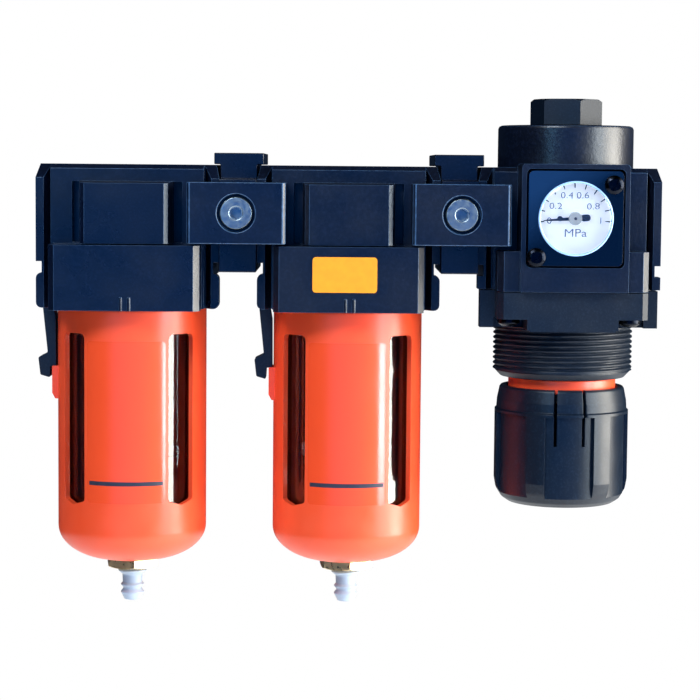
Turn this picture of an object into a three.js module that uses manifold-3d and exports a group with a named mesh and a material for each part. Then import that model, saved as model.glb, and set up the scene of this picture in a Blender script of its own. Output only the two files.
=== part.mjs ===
// Modular air-preparation unit: particle filter, mist filter and pressure regulator joined by two
// clamp spacers. Millimetres, +Z up, air flows along +X, the gauge side faces -Y. The origin is the
// centre of the inlet port's face, so every port lies on the X axis.
import * as THREE from "three";
import { mergeVertices } from "three/addons/utils/BufferGeometryUtils.js";
import Module from "manifold-3d";

const wasm = await Module();
wasm.setup();

// ---------------------------------------------------------------- driving dimensions
const MODULE_WIDTH = 53;
const SPACER_WIDTH = 11;
const PITCH = MODULE_WIDTH + SPACER_WIDTH;
const FILTER_X = MODULE_WIDTH / 2;
const MIST_X = FILTER_X + PITCH;
const REGULATOR_X = FILTER_X + 2 * PITCH;
const HALF = MODULE_WIDTH / 2;

const GAP = 0.3; // clearance between fitted pieces
const FACE_GAP = 0.15; // between a spacer and the port face it seals
const ROUND = 24; // sides of a large round
const MEDIUM_ROUND = 16; // sides of a round inside the unit
const SMALL_ROUND = 12; // sides of a small round
const CLEAR_ROUND = 20; // sides of a small round that is seen face on

const PORT_R = 7.5; // tapping size of a 3/8 taper pipe thread
const PORT_DEPTH = 13;

const BODY_TOP = 13.6;
const SHOULDER_Z = 9.6; // the flange's ends and its clamp ribs slope in above this
const FLANGE_BOTTOM = -14.6;
const TAB_TOP = -17.9;
const BODY_BOTTOM = -28.1;
const FLANGE_DEPTH = 16; // half depth of the port flanges
const WING_BACK = -10; // the wings beside the collar block are on the front only
const PANEL_HALF = 22.1; // raised panel between the clamp grooves
const PANEL_DEPTH = FLANGE_DEPTH + 0.3;
const PANEL_TOP = BODY_TOP - 1.3;
const RIB_INNER = 24.2; // the clamp ribs run from here to the port faces
const GROOVE_FLOOR = 12.6; // half depth left behind the clamp grooves
const BLOCK_HALF = 21.5; // half width of the bowl collar block
const BLOCK_DEPTH = 28.2;
const BOSS_HALF = 11.6;
const BOSS_TOP = 8.2;
const BOSS_BOTTOM = -9;
const BOSS_DEPTH = 26.7;
const BOSS_FLARE = 1.6; // how far the boss's sides spread behind its face

const SOCKET_R = 20.3; // bore that takes the bowl guard's neck
const SEAL_BORE_R = 18.9; // bore the bowl's seal slides in

const GUARD_R = 22;
const GUARD_WALL = 1.7;
const GUARD_TOP = BODY_BOTTOM - GAP;
const GUARD_BOTTOM = -104.2;
const GUARD_CORNER = 10;
const WINDOW_ANGLE = 46; // degrees from the front to the middle of each sight window
const WINDOW_SPAN = 24.5;
const WINDOW_TOP = -35.4;
const WINDOW_BOTTOM = -84.4;
const BOWL_R = 19.6;
const BOWL_NECK_R = 18.3;
const BOWL_WALL = 3;

const SPLIT_Z = -21.6; // joint between the regulator body and its bonnet
const GAUGE_Z = -0.7;
const GAUGE_FACE = 31;
const THREAD_R = 20.9; // M42 panel thread, drawn as its outer cylinder
const THREAD_END = -45.4;
const NOSE_R = 13.5;
const KNOB_TOP = -50.9;
const KNOB_BOTTOM = -85.6;
const KNOB_R = 19.85;
const GRIPS = 6;

// ---------------------------------------------------------------- geometry helpers
const rad = THREE.MathUtils.degToRad;

// A closed three.js geometry as a solid, whichever way round its faces were drawn.
function solid(geometry) {
  const bare = geometry.index ? geometry.toNonIndexed() : geometry.clone();
  bare.deleteAttribute("normal");
  bare.deleteAttribute("uv");
  const merged = mergeVertices(bare, 1e-4);
  const vertProperties = merged.attributes.position.array;
  const build = (triVerts) =>
    new wasm.Manifold(new wasm.Mesh({ numProp: 3, vertProperties, triVerts }));
  const triangles = new Uint32Array(merged.index.array);
  const made = build(triangles);
  return made.volume() < 0 ? build(triangles.reverse()) : made;
}

function box(x0, x1, y0, y1, z0, z1) {
  const g = new THREE.BoxGeometry(x1 - x0, y1 - y0, z1 - z0);
  return solid(g.translate((x0 + x1) / 2, (y0 + y1) / 2, (z0 + z1) / 2));
}

// A cylinder along x, y or z, from a to b on that axis, centred on the other two coordinates.
function cylinder(axis, r, a, b, [u, v] = [0, 0], sides = SMALL_ROUND) {
  const g = new THREE.CylinderGeometry(r, r, b - a, sides);
  g.translate(0, (a + b) / 2, 0);
  if (axis === "x") return solid(g.rotateZ(-Math.PI / 2).translate(0, u, v));
  if (axis === "y") return solid(g.translate(u, 0, v));
  return solid(g.rotateX(Math.PI / 2).translate(u, v, 0));
}

// A solid of revolution about a vertical axis at (x, 0), from a closed [r, z] outline.
function turned(outline, x = 0, sides = ROUND) {
  const points = [...outline, outline[0]].map(([r, z]) => new THREE.Vector2(r, z));
  const g = new THREE.LatheGeometry(points, sides);
  return solid(g.rotateX(Math.PI / 2).translate(x, 0, 0));
}

function shapeOf(outline) {
  return new THREE.Shape(outline.map(([a, b]) => new THREE.Vector2(a, b)));
}

// A prism: an outline in [x, z] pushed along Y from y0 to y1.
function prismY(outline, y0, y1) {
  const g = new THREE.ExtrudeGeometry(shapeOf(outline), { depth: y1 - y0, bevelEnabled: false });
  return solid(g.rotateX(Math.PI / 2).translate(0, y1, 0));
}

// A prism: an outline in [y, z] pushed along X from x0 to x1.
function prismX(outline, x0, x1) {
  const g = new THREE.ExtrudeGeometry(shapeOf(outline), { depth: x1 - x0, bevelEnabled: false });
  return solid(g.rotateX(Math.PI / 2).rotateZ(Math.PI / 2).translate(x0, 0, 0));
}

// A prism: an outline in [x, y] pushed up from z0 to z1.
function prismZ(outline, z0, z1) {
  const g = new THREE.ExtrudeGeometry(shapeOf(outline), { depth: z1 - z0, bevelEnabled: false });
  return solid(g.translate(0, 0, z0));
}

function rectangle(halfX, halfY, chamfer) {
  const [a, b, c] = [halfX, halfY, chamfer];
  return [
    [a - c, -b], [a, -b + c], [a, b - c], [a - c, b],
    [-a + c, b], [-a, b - c], [-a, -b + c], [-a + c, -b],
  ];
}

// A rectangle in [a, b] with round corners.
function roundedRectangle(halfA, halfB, r, steps = 4) {
  const corners = [[1, -1, -90], [1, 1, 0], [-1, 1, 90], [-1, -1, 180]];
  return corners.flatMap(([sa, sb, from]) =>
    Array.from({ length: steps + 1 }, (_, i) => {
      const t = rad(from + (90 * i) / steps);
      return [sa * (halfA - r) + r * Math.cos(t), sb * (halfB - r) + r * Math.sin(t)];
    }),
  );
}

function hexagon(acrossFlats, turn = 0) {
  const r = acrossFlats / 2 / Math.cos(Math.PI / 6);
  return Array.from({ length: 6 }, (_, i) => {
    const t = rad(60 * i + turn);
    return [r * Math.cos(t), r * Math.sin(t)];
  });
}

// Points on an arc in [r, z], for a turned outline.
function arc(r, z, radius, from, to, steps) {
  return Array.from({ length: steps + 1 }, (_, i) => {
    const t = rad(from + ((to - from) * i) / steps);
    return [r + radius * Math.cos(t), z + radius * Math.sin(t)];
  });
}

// An outline in [x, y] of the ring sector centred on an angle measured from the front (-Y).
function sector(rInner, rOuter, centre, span, steps = 4) {
  const at = (r, degrees) => [r * Math.sin(rad(degrees)), -r * Math.cos(rad(degrees))];
  const angles = Array.from({ length: steps + 1 }, (_, i) => centre - span / 2 + (span * i) / steps);
  return [...angles.map((a) => at(rOuter, a)), ...angles.reverse().map((a) => at(rInner, a))];
}

function joined(first, ...rest) {
  return rest.reduce((all, s) => all.add(s), first);
}

function cut(from, ...tools) {
  return tools.reduce((left, s) => left.subtract(s), from);
}

// An O-ring of the given cord radius in a horizontal plane.
function ringSeal(ringR, cordR, x, z, sides) {
  return turned(arc(ringR, z, cordR, 0, 288, 4), x, sides);
}

// A round-wire spring about a vertical axis, as one swept section.
function coilSpring(x, radius, wireR, z0, z1, turns, stepsPerTurn) {
  class Helix extends THREE.Curve {
    getPoint(t, target = new THREE.Vector3()) {
      const a = 2 * Math.PI * turns * t;
      const z = z0 + wireR + (z1 - z0 - 2 * wireR) * t;
      return target.set(x + radius * Math.cos(a), radius * Math.sin(a), z);
    }
  }
  const wire = shapeOf(
    Array.from({ length: 4 }, (_, i) => [
      wireR * Math.cos((Math.PI * i) / 2),
      wireR * Math.sin((Math.PI * i) / 2),
    ]),
  );
  const steps = Math.round(turns * stepsPerTurn);
  return solid(new THREE.ExtrudeGeometry(wire, { steps, extrudePath: new Helix() }));
}

// ---------------------------------------------------------------- module bodies
// The plate between the two port faces, with sloping ends, chamfered ribs and a raised panel.
function flangeBlock(cx, panelBottom) {
  const slope = 1;
  const outline = [
    [cx - HALF, FLANGE_BOTTOM], [cx + HALF, FLANGE_BOTTOM], [cx + HALF, SHOULDER_Z],
    [cx + HALF - slope, BODY_TOP], [cx - HALF + slope, BODY_TOP], [cx - HALF, SHOULDER_Z],
  ];
  const chamfered = (depth, bottom, edge) => {
    const top = depth - (BODY_TOP - edge);
    return [
      [-depth, bottom], [depth, bottom], [depth, edge],
      [top, BODY_TOP], [-top, BODY_TOP], [-depth, edge],
    ];
  };
  const ribs = prismX(chamfered(FLANGE_DEPTH, FLANGE_BOTTOM, SHOULDER_Z), cx - HALF, cx + HALF);
  const panel = prismX(chamfered(PANEL_DEPTH, panelBottom, PANEL_TOP), cx - PANEL_HALF, cx + PANEL_HALF);
  return joined(prismY(outline, -FLANGE_DEPTH, FLANGE_DEPTH).intersect(ribs), panel);
}

// The four upright grooves that the clamps hook into; the wall towards the port face slants.
function clampGrooves(cx) {
  const open = FLANGE_DEPTH + 1;
  const plan = [
    [PANEL_HALF, open], [PANEL_HALF, GROOVE_FLOOR], [PANEL_HALF + GAP, GROOVE_FLOOR],
    [RIB_INNER, FLANGE_DEPTH], [RIB_INNER, open],
  ];
  return [-1, 1].flatMap((side) =>
    [-1, 1].map((face) =>
      prismZ(plan.map(([x, y]) => [cx + side * x, face * y]), BODY_BOTTOM - 1, BODY_TOP + 1),
    ),
  );
}

// The mounting pad on a module's front (face -1) or back (face 1), flared behind its face.
function boss(cx, face) {
  const flareDepth = 5;
  const base = BOSS_DEPTH - flareDepth;
  const half = BOSS_HALF + BOSS_FLARE;
  const [top, bottom] = [BOSS_TOP + 0.5, BOSS_BOTTOM];
  const pad = new THREE.BoxGeometry(2 * BOSS_HALF, flareDepth, BOSS_TOP - BOSS_BOTTOM);
  const p = pad.attributes.position;
  for (let i = 0; i < p.count; i++) {
    if (p.getY(i) < 0) continue;
    p.setX(i, Math.sign(p.getX(i)) * half);
    if (p.getZ(i) > 0) p.setZ(i, p.getZ(i) + top - BOSS_TOP);
  }
  pad.translate(0, -base - flareDepth / 2, (BOSS_TOP + BOSS_BOTTOM) / 2);
  const made = joined(solid(pad), box(-half, half, -base, -10, bottom, top));
  return (face > 0 ? made.rotate([0, 0, 180]) : made).translate([cx, 0, 0]);
}

// The shadow recesses on both sides of a boss.
function bossRecesses(cx, face) {
  const [front, floor] = [face * (FLANGE_DEPTH + 1), face * (FLANGE_DEPTH - 3)];
  return [-1, 1].map((side) => {
    const [a, b] = [side * (BOSS_HALF + BOSS_FLARE), side * 15.9];
    return box(
      cx + Math.min(a, b), cx + Math.max(a, b), Math.min(front, floor), Math.max(front, floor),
      BOSS_BOTTOM, BOSS_TOP + 0.4,
    );
  });
}

function port(cx, side) {
  const face = cx + side * HALF;
  const [a, b] = side < 0 ? [face - 1, face + PORT_DEPTH] : [face - PORT_DEPTH, face + 1];
  return cylinder("x", PORT_R, a, b, [0, 0], CLEAR_ROUND);
}

// The two small guide ribs cast at the foot of each collar block's face.
function witnessRibs(cx, face, bottom) {
  return [-0.85, 1.55].map((dx) => {
    const y = face * BLOCK_DEPTH;
    return box(cx + dx - 0.7, cx + dx + 0.7, y - 0.35, y + 0.35, bottom, bottom + 4);
  });
}

// The body shared by the filter and the mist filter.
function filterBody(cx) {
  const blockTop = -9.4;
  const block = rectangle(BLOCK_HALF, BLOCK_DEPTH, 1.7).map(([x, y]) => [x + cx, y]);
  const tabs = roundedRectangle(HALF, (TAB_TOP - BODY_BOTTOM) / 2, 1.6, 3);
  const tabOutline = tabs.map(([x, z]) => [x + cx, z + (TAB_TOP + BODY_BOTTOM) / 2]);
  const outside = joined(
    flangeBlock(cx, blockTop - 1),
    box(cx - HALF + 1.7, cx + HALF - 1.7, -FLANGE_DEPTH, FLANGE_DEPTH, TAB_TOP - 1, FLANGE_BOTTOM + 1),
    prismY(tabOutline, -FLANGE_DEPTH, WING_BACK),
    prismZ(block, BODY_BOTTOM, blockTop),
    boss(cx, -1),
    boss(cx, 1),
    ...witnessRibs(cx, -1, BODY_BOTTOM),
  );
  return cut(
    outside,
    ...clampGrooves(cx),
    ...bossRecesses(cx, -1),
    ...bossRecesses(cx, 1),
    port(cx, -1),
    port(cx, 1),
    cylinder("z", SOCKET_R, BODY_BOTTOM - 1, -19, [cx, 0], ROUND),
    cylinder("z", SEAL_BORE_R, -20, -10, [cx, 0], ROUND),
    box(cx - 17.5, cx - 12, -4, 4, -11, 0), // inlet passage down to the bowl
    cylinder("x", 4.5, cx - 2, cx + 15, [0, 0]), // outlet passage from the middle
    cylinder("z", 4.5, -11, 0, [cx, 0]),
  );
}

// ---------------------------------------------------------------- bowl assembly
// The clear bowl: a necked cup with a grooved collar for its seal and a drain spigot.
function bowl(cx) {
  const floor = GUARD_BOTTOM + GUARD_WALL + 0.5;
  const inner = BOWL_R - BOWL_WALL;
  const corner = GUARD_CORNER - GUARD_WALL - 0.4;
  return turned(
    [
      [15.6, -11.2], [BOWL_NECK_R, -11.2], [BOWL_NECK_R, -13.6], [16.9, -13.6], [16.9, -16.4],
      [BOWL_NECK_R, -16.4], [BOWL_NECK_R, -31.2], [BOWL_R, -32.5],
      ...arc(BOWL_R - corner, floor + corner, corner, 0, -90, 3),
      [5.6, floor], [5.6, GUARD_BOTTOM], [4.2, GUARD_BOTTOM], [4.2, floor + BOWL_WALL],
      ...arc(inner - 6, floor + BOWL_WALL + 6, 6, -90, 0, 2),
      [inner, -33.5], [15.6, -31.5],
    ],
    cx,
  );
}

// The orange guard: neck, shell, two sight windows and the pocket for the lock lever.
function bowlGuard(cx) {
  const inner = GUARD_R - GUARD_WALL;
  const innerFloor = GUARD_BOTTOM + GUARD_WALL;
  const neckWall = 0.9;
  const neckInner = BOWL_NECK_R + 0.4;
  const shell = turned([
    [neckInner, -20.5], [neckInner + neckWall, -20.5], [neckInner + neckWall, GUARD_TOP],
    [GUARD_R, GUARD_TOP],
    ...arc(GUARD_R - GUARD_CORNER, GUARD_BOTTOM + GUARD_CORNER + 0.3, GUARD_CORNER, 0, -90, 4),
    [6.2, GUARD_BOTTOM], [6.2, innerFloor],
    ...arc(inner - GUARD_CORNER + GUARD_WALL, innerFloor + GUARD_CORNER - GUARD_WALL,
      GUARD_CORNER - GUARD_WALL, -90, 0, 3),
    [inner, -30.9], [neckInner, -30.9],
  ]);
  const halfWindow = GUARD_R * Math.sin(rad(WINDOW_SPAN / 2));
  const mid = (WINDOW_TOP + WINDOW_BOTTOM) / 2;
  const tall = (WINDOW_TOP - WINDOW_BOTTOM) / 2;
  const windows = [-1, 1].map((side) => {
    const outline = roundedRectangle(halfWindow, tall, 1.6, 3).map(([x, z]) => [x, z + mid]);
    return prismY(outline, -GUARD_R - 2, -10).rotate([0, 0, side * WINDOW_ANGLE]);
  });
  const bayonet = [45, 135, 225, 315].map((a) =>
    prismZ(sector(neckInner + 0.3, SOCKET_R - 0.4, a, 16, 2), -23.4, -20.9),
  );
  const pocket = box(-24, -21.2, -5, 5, -55.7, -46);
  const slot = box(-23.2, -22, -3.8, 3.8, -54.5, -45);
  const mouth = box(-25, -22, -3.8, 3.8, -49.2, -45);
  return cut(joined(shell, ...bayonet, pocket), slot, mouth, ...windows).translate([cx, 0, 0]);
}

// The thumb lever that locks the guard against turning: an arm with a pad, sliding in the pocket.
function lockLever(cx) {
  const side = [
    [-26.2, -28.6], [-23, -28.6], [-22.4, -32], [-22.3, -51.4], [-22.9, -51.4],
    [-22.9, -46.2], [-25, -46.2], [-25.2, -49.6], [-28.3, -48.6], [-28.9, -43.6], [-25.4, -42.2],
  ];
  return prismY(side.map(([x, z]) => [x + cx, z]), -3.4, 3.4);
}

function drainNut(cx) {
  const hex = hexagon(13.5, 33).map(([x, y]) => [x + cx, y]);
  return cut(prismZ(hex, -106.8, GUARD_BOTTOM - GAP), cylinder("z", 3.9, -108, -104, [cx, 0]));
}

// The drain cock: a valve tip inside the bowl's spigot and a barbed hose tail below.
function drainCock(cx) {
  return turned(
    [
      [1.2, -99], [3.4, -99], [3.4, -107.2], [4.6, -107.5], [3, -108.8], [3, -111],
      [3.6, -112], [2.6, -113], [3.5, -114.2], [2.4, -116.5], [1.2, -116.5],
    ],
    cx,
    SMALL_ROUND,
  );
}

// ---------------------------------------------------------------- filter internals
function filterElement(cx) {
  return turned([[6.5, -68], [11.8, -68], [11.8, -19.2], [6.5, -19.2]], cx, MEDIUM_ROUND);
}

// The swirl deflector above the element: a flanged ring with slanted vanes.
function deflector(cx) {
  const ring = turned(
    [[5.2, -18.9], [14.2, -18.9], [14.2, -17.7], [7.6, -17.7], [7.6, -10.4], [5.2, -10.4]],
    0,
    MEDIUM_ROUND,
  );
  const vanes = Array.from({ length: 8 }, (_, i) =>
    box(7.2, 14.2, -0.5, 0.5, -4, 0.2).rotate([25, 0, 0]).translate([0, 0, -14.2]).rotate([0, 0, 45 * i]),
  );
  return joined(ring, ...vanes).translate([cx, 0, 0]);
}

// The baffle below the element, on the rod that clamps the element to the body.
function baffle(cx) {
  const umbrella = turned(
    [
      [0, -74], [4, -74], [5, -71.4], [14, -72.6], [14.3, -71.4],
      [6, -68.4], [2.6, -68.4], [2.6, -20], [0, -20],
    ],
    0,
    MEDIUM_ROUND,
  );
  const fins = Array.from({ length: 4 }, (_, i) =>
    box(3, 12.5, -0.6, 0.6, -77, -71.8).rotate([0, 0, 45 + 90 * i]),
  );
  return joined(umbrella, ...fins, cylinder("z", 4, -77, -73)).translate([cx, 0, 0]);
}

// The mist element: a coalescing sleeve between two moulded end caps.
function mistElement(cx) {
  return turned(
    [
      [8, -72], [13.6, -72], [13.6, -69], [12.6, -69], [12.6, -25], [14, -25], [14, -21.4], [8, -21.4],
    ],
    cx,
    MEDIUM_ROUND,
  );
}

// The holder that hangs the mist element from the body and feeds air down its middle.
function mistElementHolder(cx) {
  return turned(
    [
      [3.2, -75], [13, -75], [13, -72.3], [7.6, -72.3], [7.6, -21.1], [14.4, -21.1], [14.4, -18.6],
      [7.6, -18.6], [7.6, -10.4], [5.6, -10.4], [5.6, -70], [3.2, -70],
    ],
    cx,
    MEDIUM_ROUND,
  );
}

// ---------------------------------------------------------------- spacers and clamps
const CORE_DEPTH = 20;
const CLAMP_FACE = 30.3;

// The spacer core between two port faces, with the broad flange along its top.
function spacer(x) {
  const a = x - SPACER_WIDTH / 2 + FACE_GAP;
  const b = x + SPACER_WIDTH / 2 - FACE_GAP;
  const outline = [
    [-CORE_DEPTH, -17.2], [CORE_DEPTH, -17.2], [CORE_DEPTH, BODY_TOP + GAP],
    [-12, BODY_TOP + GAP], [-12, SHOULDER_Z], [-CORE_DEPTH, SHOULDER_Z],
  ];
  const screwHoles = [-1, 1].map((face) => {
    const ends = [face * 10, face * 21].sort((p, q) => p - q);
    return cylinder("y", 2.7, ends[0], ends[1], [x, 0]);
  });
  const sealSeats = [[a - 1, a + 1.6], [b - 1.6, b + 1]].map(([p, q]) =>
    cylinder("x", 10.4, p, q),
  );
  return cut(
    joined(prismX(outline, a, b), box(x - 7.2, x + 7.2, -12, 26, BODY_TOP + GAP - 0.1, 17.1)),
    cylinder("x", 6.8, a - 1, b + 1),
    ...sealSeats,
    ...screwHoles,
  );
}

// A flat ring seal in a spacer's counterbore; side -1 is the upstream face.
function spacerSeal(x, side) {
  const outer = x + side * (SPACER_WIDTH / 2 - FACE_GAP);
  const [a, b] = side < 0 ? [outer + 0.05, outer + 1.4] : [outer - 1.4, outer - 0.05];
  return cut(cylinder("x", 10.2, a, b), cylinder("x", 7.6, a - 1, b + 1));
}

// A clamp block: it spans the spacer and hooks behind the ribs of both modules.
function clamp(x, face) {
  const half = 14;
  const tall = 8.7;
  const back = 16.6;
  const fromCentre = PITCH / 2;
  const hookPlan = [
    [PANEL_HALF + 0.2, back + 1], [PANEL_HALF + 0.2, GROOVE_FLOOR + 0.5],
    [RIB_INNER - 0.25, FLANGE_DEPTH], [RIB_INNER - 0.25, back + 1],
  ];
  const hooks = [-1, 1].map((side) =>
    prismZ(hookPlan.map(([x, y]) => [side * (fromCentre - x), -y]), 1 - tall, tall - 1.6),
  );
  const block = prismX(roundedRectangle(0.5 * (CLAMP_FACE - back), tall, 0.8, 2), -half, half);
  const made = cut(
    joined(block.translate([0, -(CLAMP_FACE + back) / 2, 0]), ...hooks),
    box(-SPACER_WIDTH / 2 - 0.4, SPACER_WIDTH / 2 + 0.4, -CORE_DEPTH - GAP, -back + 1, -10, 10),
    cylinder("y", 2.7, -32, -15),
    cylinder("y", 5.45, -CLAMP_FACE - 1, -CLAMP_FACE + 3.2, [0, 0], CLEAR_ROUND),
  );
  return (face > 0 ? made.rotate([0, 0, 180]) : made).translate([x, 0, 0]);
}

// The socket screw of a clamp, threaded into the spacer core.
function clampScrew(x, face) {
  const headTop = -CLAMP_FACE + 0.4;
  const made = cut(
    joined(
      cylinder("y", 4.7, headTop, headTop + 2.4, [0, 0], CLEAR_ROUND),
      cylinder("y", 2.4, headTop + 2, -10.6),
    ),
    prismY(hexagon(3, 30), headTop - 1, headTop + 1.8),
  );
  return (face > 0 ? made.rotate([0, 0, 180]) : made).translate([x, 0, 0]);
}

// ---------------------------------------------------------------- regulator
const CAP_BORE_R = 8.9;
const BONNET_SCREW = 17.5;
const SCREW_SPOTS = [[-1, -1], [1, -1], [1, 1], [-1, 1]];
const GAUGE_SCREWS = [[10.6, 9.6], [-11.1, -11]];

function regulatorBody() {
  const cx = REGULATOR_X;
  const gaugeBox = roundedRectangle(15.3, 15.3, 1, 3).map(([x, z]) => [x + cx, z + GAUGE_Z]);
  const recess = roundedRectangle(14, 14, 1.5, 3).map(([x, z]) => [x + cx, z + GAUGE_Z]);
  const block = rectangle(BLOCK_HALF, BLOCK_DEPTH, 1.7).map(([x, y]) => [x + cx, y]);
  const outside = joined(
    flangeBlock(cx, -12),
    box(cx - HALF + 1.7, cx + HALF - 1.7, -FLANGE_DEPTH, FLANGE_DEPTH, SPLIT_Z + 2, FLANGE_BOTTOM + 1),
    box(cx - HALF, cx + HALF, -FLANGE_DEPTH, WING_BACK, SPLIT_Z, TAB_TOP),
    prismZ(block, SPLIT_Z, -10.2),
    prismY(gaugeBox, -GAUGE_FACE, -10),
    box(cx - 15.3, cx + 15.3, -GAUGE_FACE, -20, SPLIT_Z, -10),
    boss(cx, 1),
    turned([[0, 0], [20, 0], [19.9, 24.9], [18.9, 25.9], [0, 25.9]], cx),
  );
  const screwHoles = SCREW_SPOTS.map(([sx, sy]) =>
    cylinder("z", 2.2, SPLIT_Z - 1, -13.5, [cx + sx * BONNET_SCREW, sy * BONNET_SCREW]),
  );
  const gaugeHoles = GAUGE_SCREWS.map(([dx, dz]) =>
    cylinder("y", 1.7, -23, -16.8, [cx + dx, GAUGE_Z + dz]),
  );
  return cut(
    outside,
    ...clampGrooves(cx),
    ...bossRecesses(cx, 1),
    port(cx, -1),
    port(cx, 1),
    prismY(recess, -GAUGE_FACE - 1, -21),
    cylinder("z", CAP_BORE_R, 3, 27, [cx, 0], MEDIUM_ROUND), // valve chamber
    cylinder("z", 4.5, -8, 4, [cx, 0]), // valve seat
    cylinder("z", 1.9, -15, -7, [cx, 0]), // valve stem guide
    cylinder("z", 1.2, -15, -5, [cx + 8, 0]), // outlet pressure to the diaphragm
    cylinder("z", 16.5, SPLIT_Z - 1, -13.6, [cx, 0], ROUND), // diaphragm chamber
    cylinder("y", 1.4, -22, -2, [cx, -4.5]), // outlet pressure to the gauge
    box(cx - 14.5, cx - 6, -4, 4, 3.4, 6.2),
    box(cx + 3, cx + 14.5, -4, 4, -6.4, -2),
    ...screwHoles,
    ...gaugeHoles,
  );
}

// The hexagon plug that closes the valve chamber and guides the valve.
function valvePlug() {
  const cx = REGULATOR_X;
  const hex = prismZ(hexagon(18.4, -13).map(([x, y]) => [x + cx, y]), 26.2, 33.7);
  const crown = turned([[0, 24], [11, 24], [11, 32.6], [9.4, 33.7], [0, 33.7]], cx, SMALL_ROUND);
  const shank = turned(
    [[0, 12.2], [8.6, 12.2], [8.6, 20.6], [7.4, 20.6], [7.4, 22.8], [8.6, 22.8], [8.6, 27], [0, 27]],
    cx,
    MEDIUM_ROUND,
  );
  return cut(joined(hex.intersect(crown), shank), cylinder("z", 2.4, 11, 21, [cx, 0]));
}

// The poppet valve: a disc over the seat, a guide stem above and a push stem below.
function valve() {
  return turned(
    [[0, -20.2], [1.5, -20.2], [1.5, 3.3], [6.2, 3.3], [6.2, 5.2], [2, 5.8], [2, 18.5], [0, 18.5]],
    REGULATOR_X,
    SMALL_ROUND,
  );
}

function diaphragm() {
  return turned([[11.4, -22.9], [18.7, -22.9], [18.7, -22], [11.4, -22]], REGULATOR_X, MEDIUM_ROUND);
}

function diaphragmPlate() {
  return turned(
    [[0, -25], [11, -25], [11, -22.2], [6, -21.9], [6, -21.2], [2.8, -20.5], [0, -20.5]],
    REGULATOR_X,
    MEDIUM_ROUND,
  );
}

// The bonnet: bolting flange, spring chamber, panel thread and the nose the knob turns round.
function bonnet() {
  const cx = REGULATOR_X;
  const top = SPLIT_Z - GAP;
  const bottom = -32.7;
  const at = ([x, y]) => [x + cx, y];
  const flange = joined(
    box(cx - 25.8, cx + 25.8, -FLANGE_DEPTH, WING_BACK, bottom, top),
    prismZ(rectangle(BLOCK_HALF, BLOCK_DEPTH, 1.7).map(at), bottom, top),
    prismZ(rectangle(12.3, BLOCK_DEPTH, 0.8).map(at), -33.1, bottom + 1),
  );
  const corners = SCREW_SPOTS.map(([sx, sy]) => {
    const [x0, x1] = [cx + sx * 13, cx + sx * (BLOCK_HALF + GAP)].sort((a, b) => a - b);
    const [y0, y1] = [sy * 13, sy * 30].sort((a, b) => a - b);
    return box(x0, x1, y0, y1, bottom - 2, -29.6);
  });
  const barrel = turned(
    [
      [0, -24], [THREAD_R, -24], [THREAD_R, THREAD_END], [18.4, -48], [NOSE_R, -48],
      [NOSE_R, -55], [0, -55],
    ],
    cx,
  );
  const screwHoles = SCREW_SPOTS.map(([sx, sy]) =>
    cylinder("z", 2.2, -31, -20, [cx + sx * BONNET_SCREW, sy * BONNET_SCREW]),
  );
  return cut(
    joined(cut(flange, ...corners), barrel),
    cylinder("z", 19, -23.1, -20, [cx, 0], ROUND),
    cylinder("z", 15, -44.9, -20, [cx, 0], MEDIUM_ROUND),
    cylinder("z", 5.3, -56, -40, [cx, 0]),
    ...screwHoles,
  );
}

// A pan-head cross-recess screw pointing up.
function bonnetScrew([sx, sy]) {
  const [x, y] = [REGULATOR_X + sx * BONNET_SCREW, sy * BONNET_SCREW];
  const outline = [[0, -32.1], [2.4, -32.1], [3.25, -31.2], [3.25, -29.9], [0, -29.9]];
  const head = turned(outline, 0, MEDIUM_ROUND);
  const cross = [box(-1.6, 1.6, -0.35, 0.35, -33, -31), box(-0.35, 0.35, -1.6, 1.6, -33, -31)];
  return cut(joined(head, cylinder("z", 1.9, -30.5, -14.2)), ...cross).translate([x, y, 0]);
}

// The threaded plate that compresses the pressure spring as the screw turns.
function springSeat() {
  return turned(
    [[5.15, -42.9], [8, -42.9], [14.6, -41.6], [14.6, -39.9], [5.15, -39.9]],
    REGULATOR_X,
    MEDIUM_ROUND,
  );
}

function adjustingScrew() {
  const cx = REGULATOR_X;
  const shaft = turned(
    [[0, -55.2], [4.9, -55.2], [4.9, -44.6], [8, -44.6], [8, -43.3], [4.9, -43.3], [4.9, -30], [0, -30]],
    cx,
    SMALL_ROUND,
  );
  return joined(shaft, prismZ(hexagon(8).map(([x, y]) => [x + cx, y]), -73, -55));
}

function lockRing() {
  const r = NOSE_R + GAP;
  return turned([[r, -52.2], [15.9, -52.2], [15.9, -48.3], [r, -48.3]], REGULATOR_X);
}

// The pull-out knob: a hollow cup with six grip flats, a splined hub and a snap tab in front.
function knob() {
  const rim = 18.4;
  const cup = turned([
    [0, KNOB_BOTTOM], [16.5, KNOB_BOTTOM], [17.3, -84.6], [18, -81.5], [KNOB_R, -79.5],
    [KNOB_R, -57.9], [19.2, -57.2], [rim + 0.5, -54], [rim, KNOB_TOP], [16.4, KNOB_TOP],
    [16.4, -80], [7.5, -82], [7.5, -58.2], [0, -58.2],
  ]);
  const grips = Array.from({ length: GRIPS }, (_, i) =>
    prismZ(sector(18.55, KNOB_R + 1, (360 / GRIPS) * i + 2, 43, 4), -80.2, -58.6),
  );
  const tabSlots = [-12.8, 12.8].map((a) =>
    prismZ(sector(15.8, KNOB_R + 1, a + 2, 3.2, 1), -67.3, KNOB_TOP + 1),
  );
  const socket = prismZ(hexagon(8.5), -76, -57);
  return cut(cup, ...grips, ...tabSlots, socket).translate([REGULATOR_X, 0, 0]);
}

// ---------------------------------------------------------------- gauge
function gaugePlate(half, corner, front, back) {
  const outline = roundedRectangle(half, half, corner, 3);
  return prismY(outline.map(([x, z]) => [x + REGULATOR_X, z + GAUGE_Z]), -front, -back);
}

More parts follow.
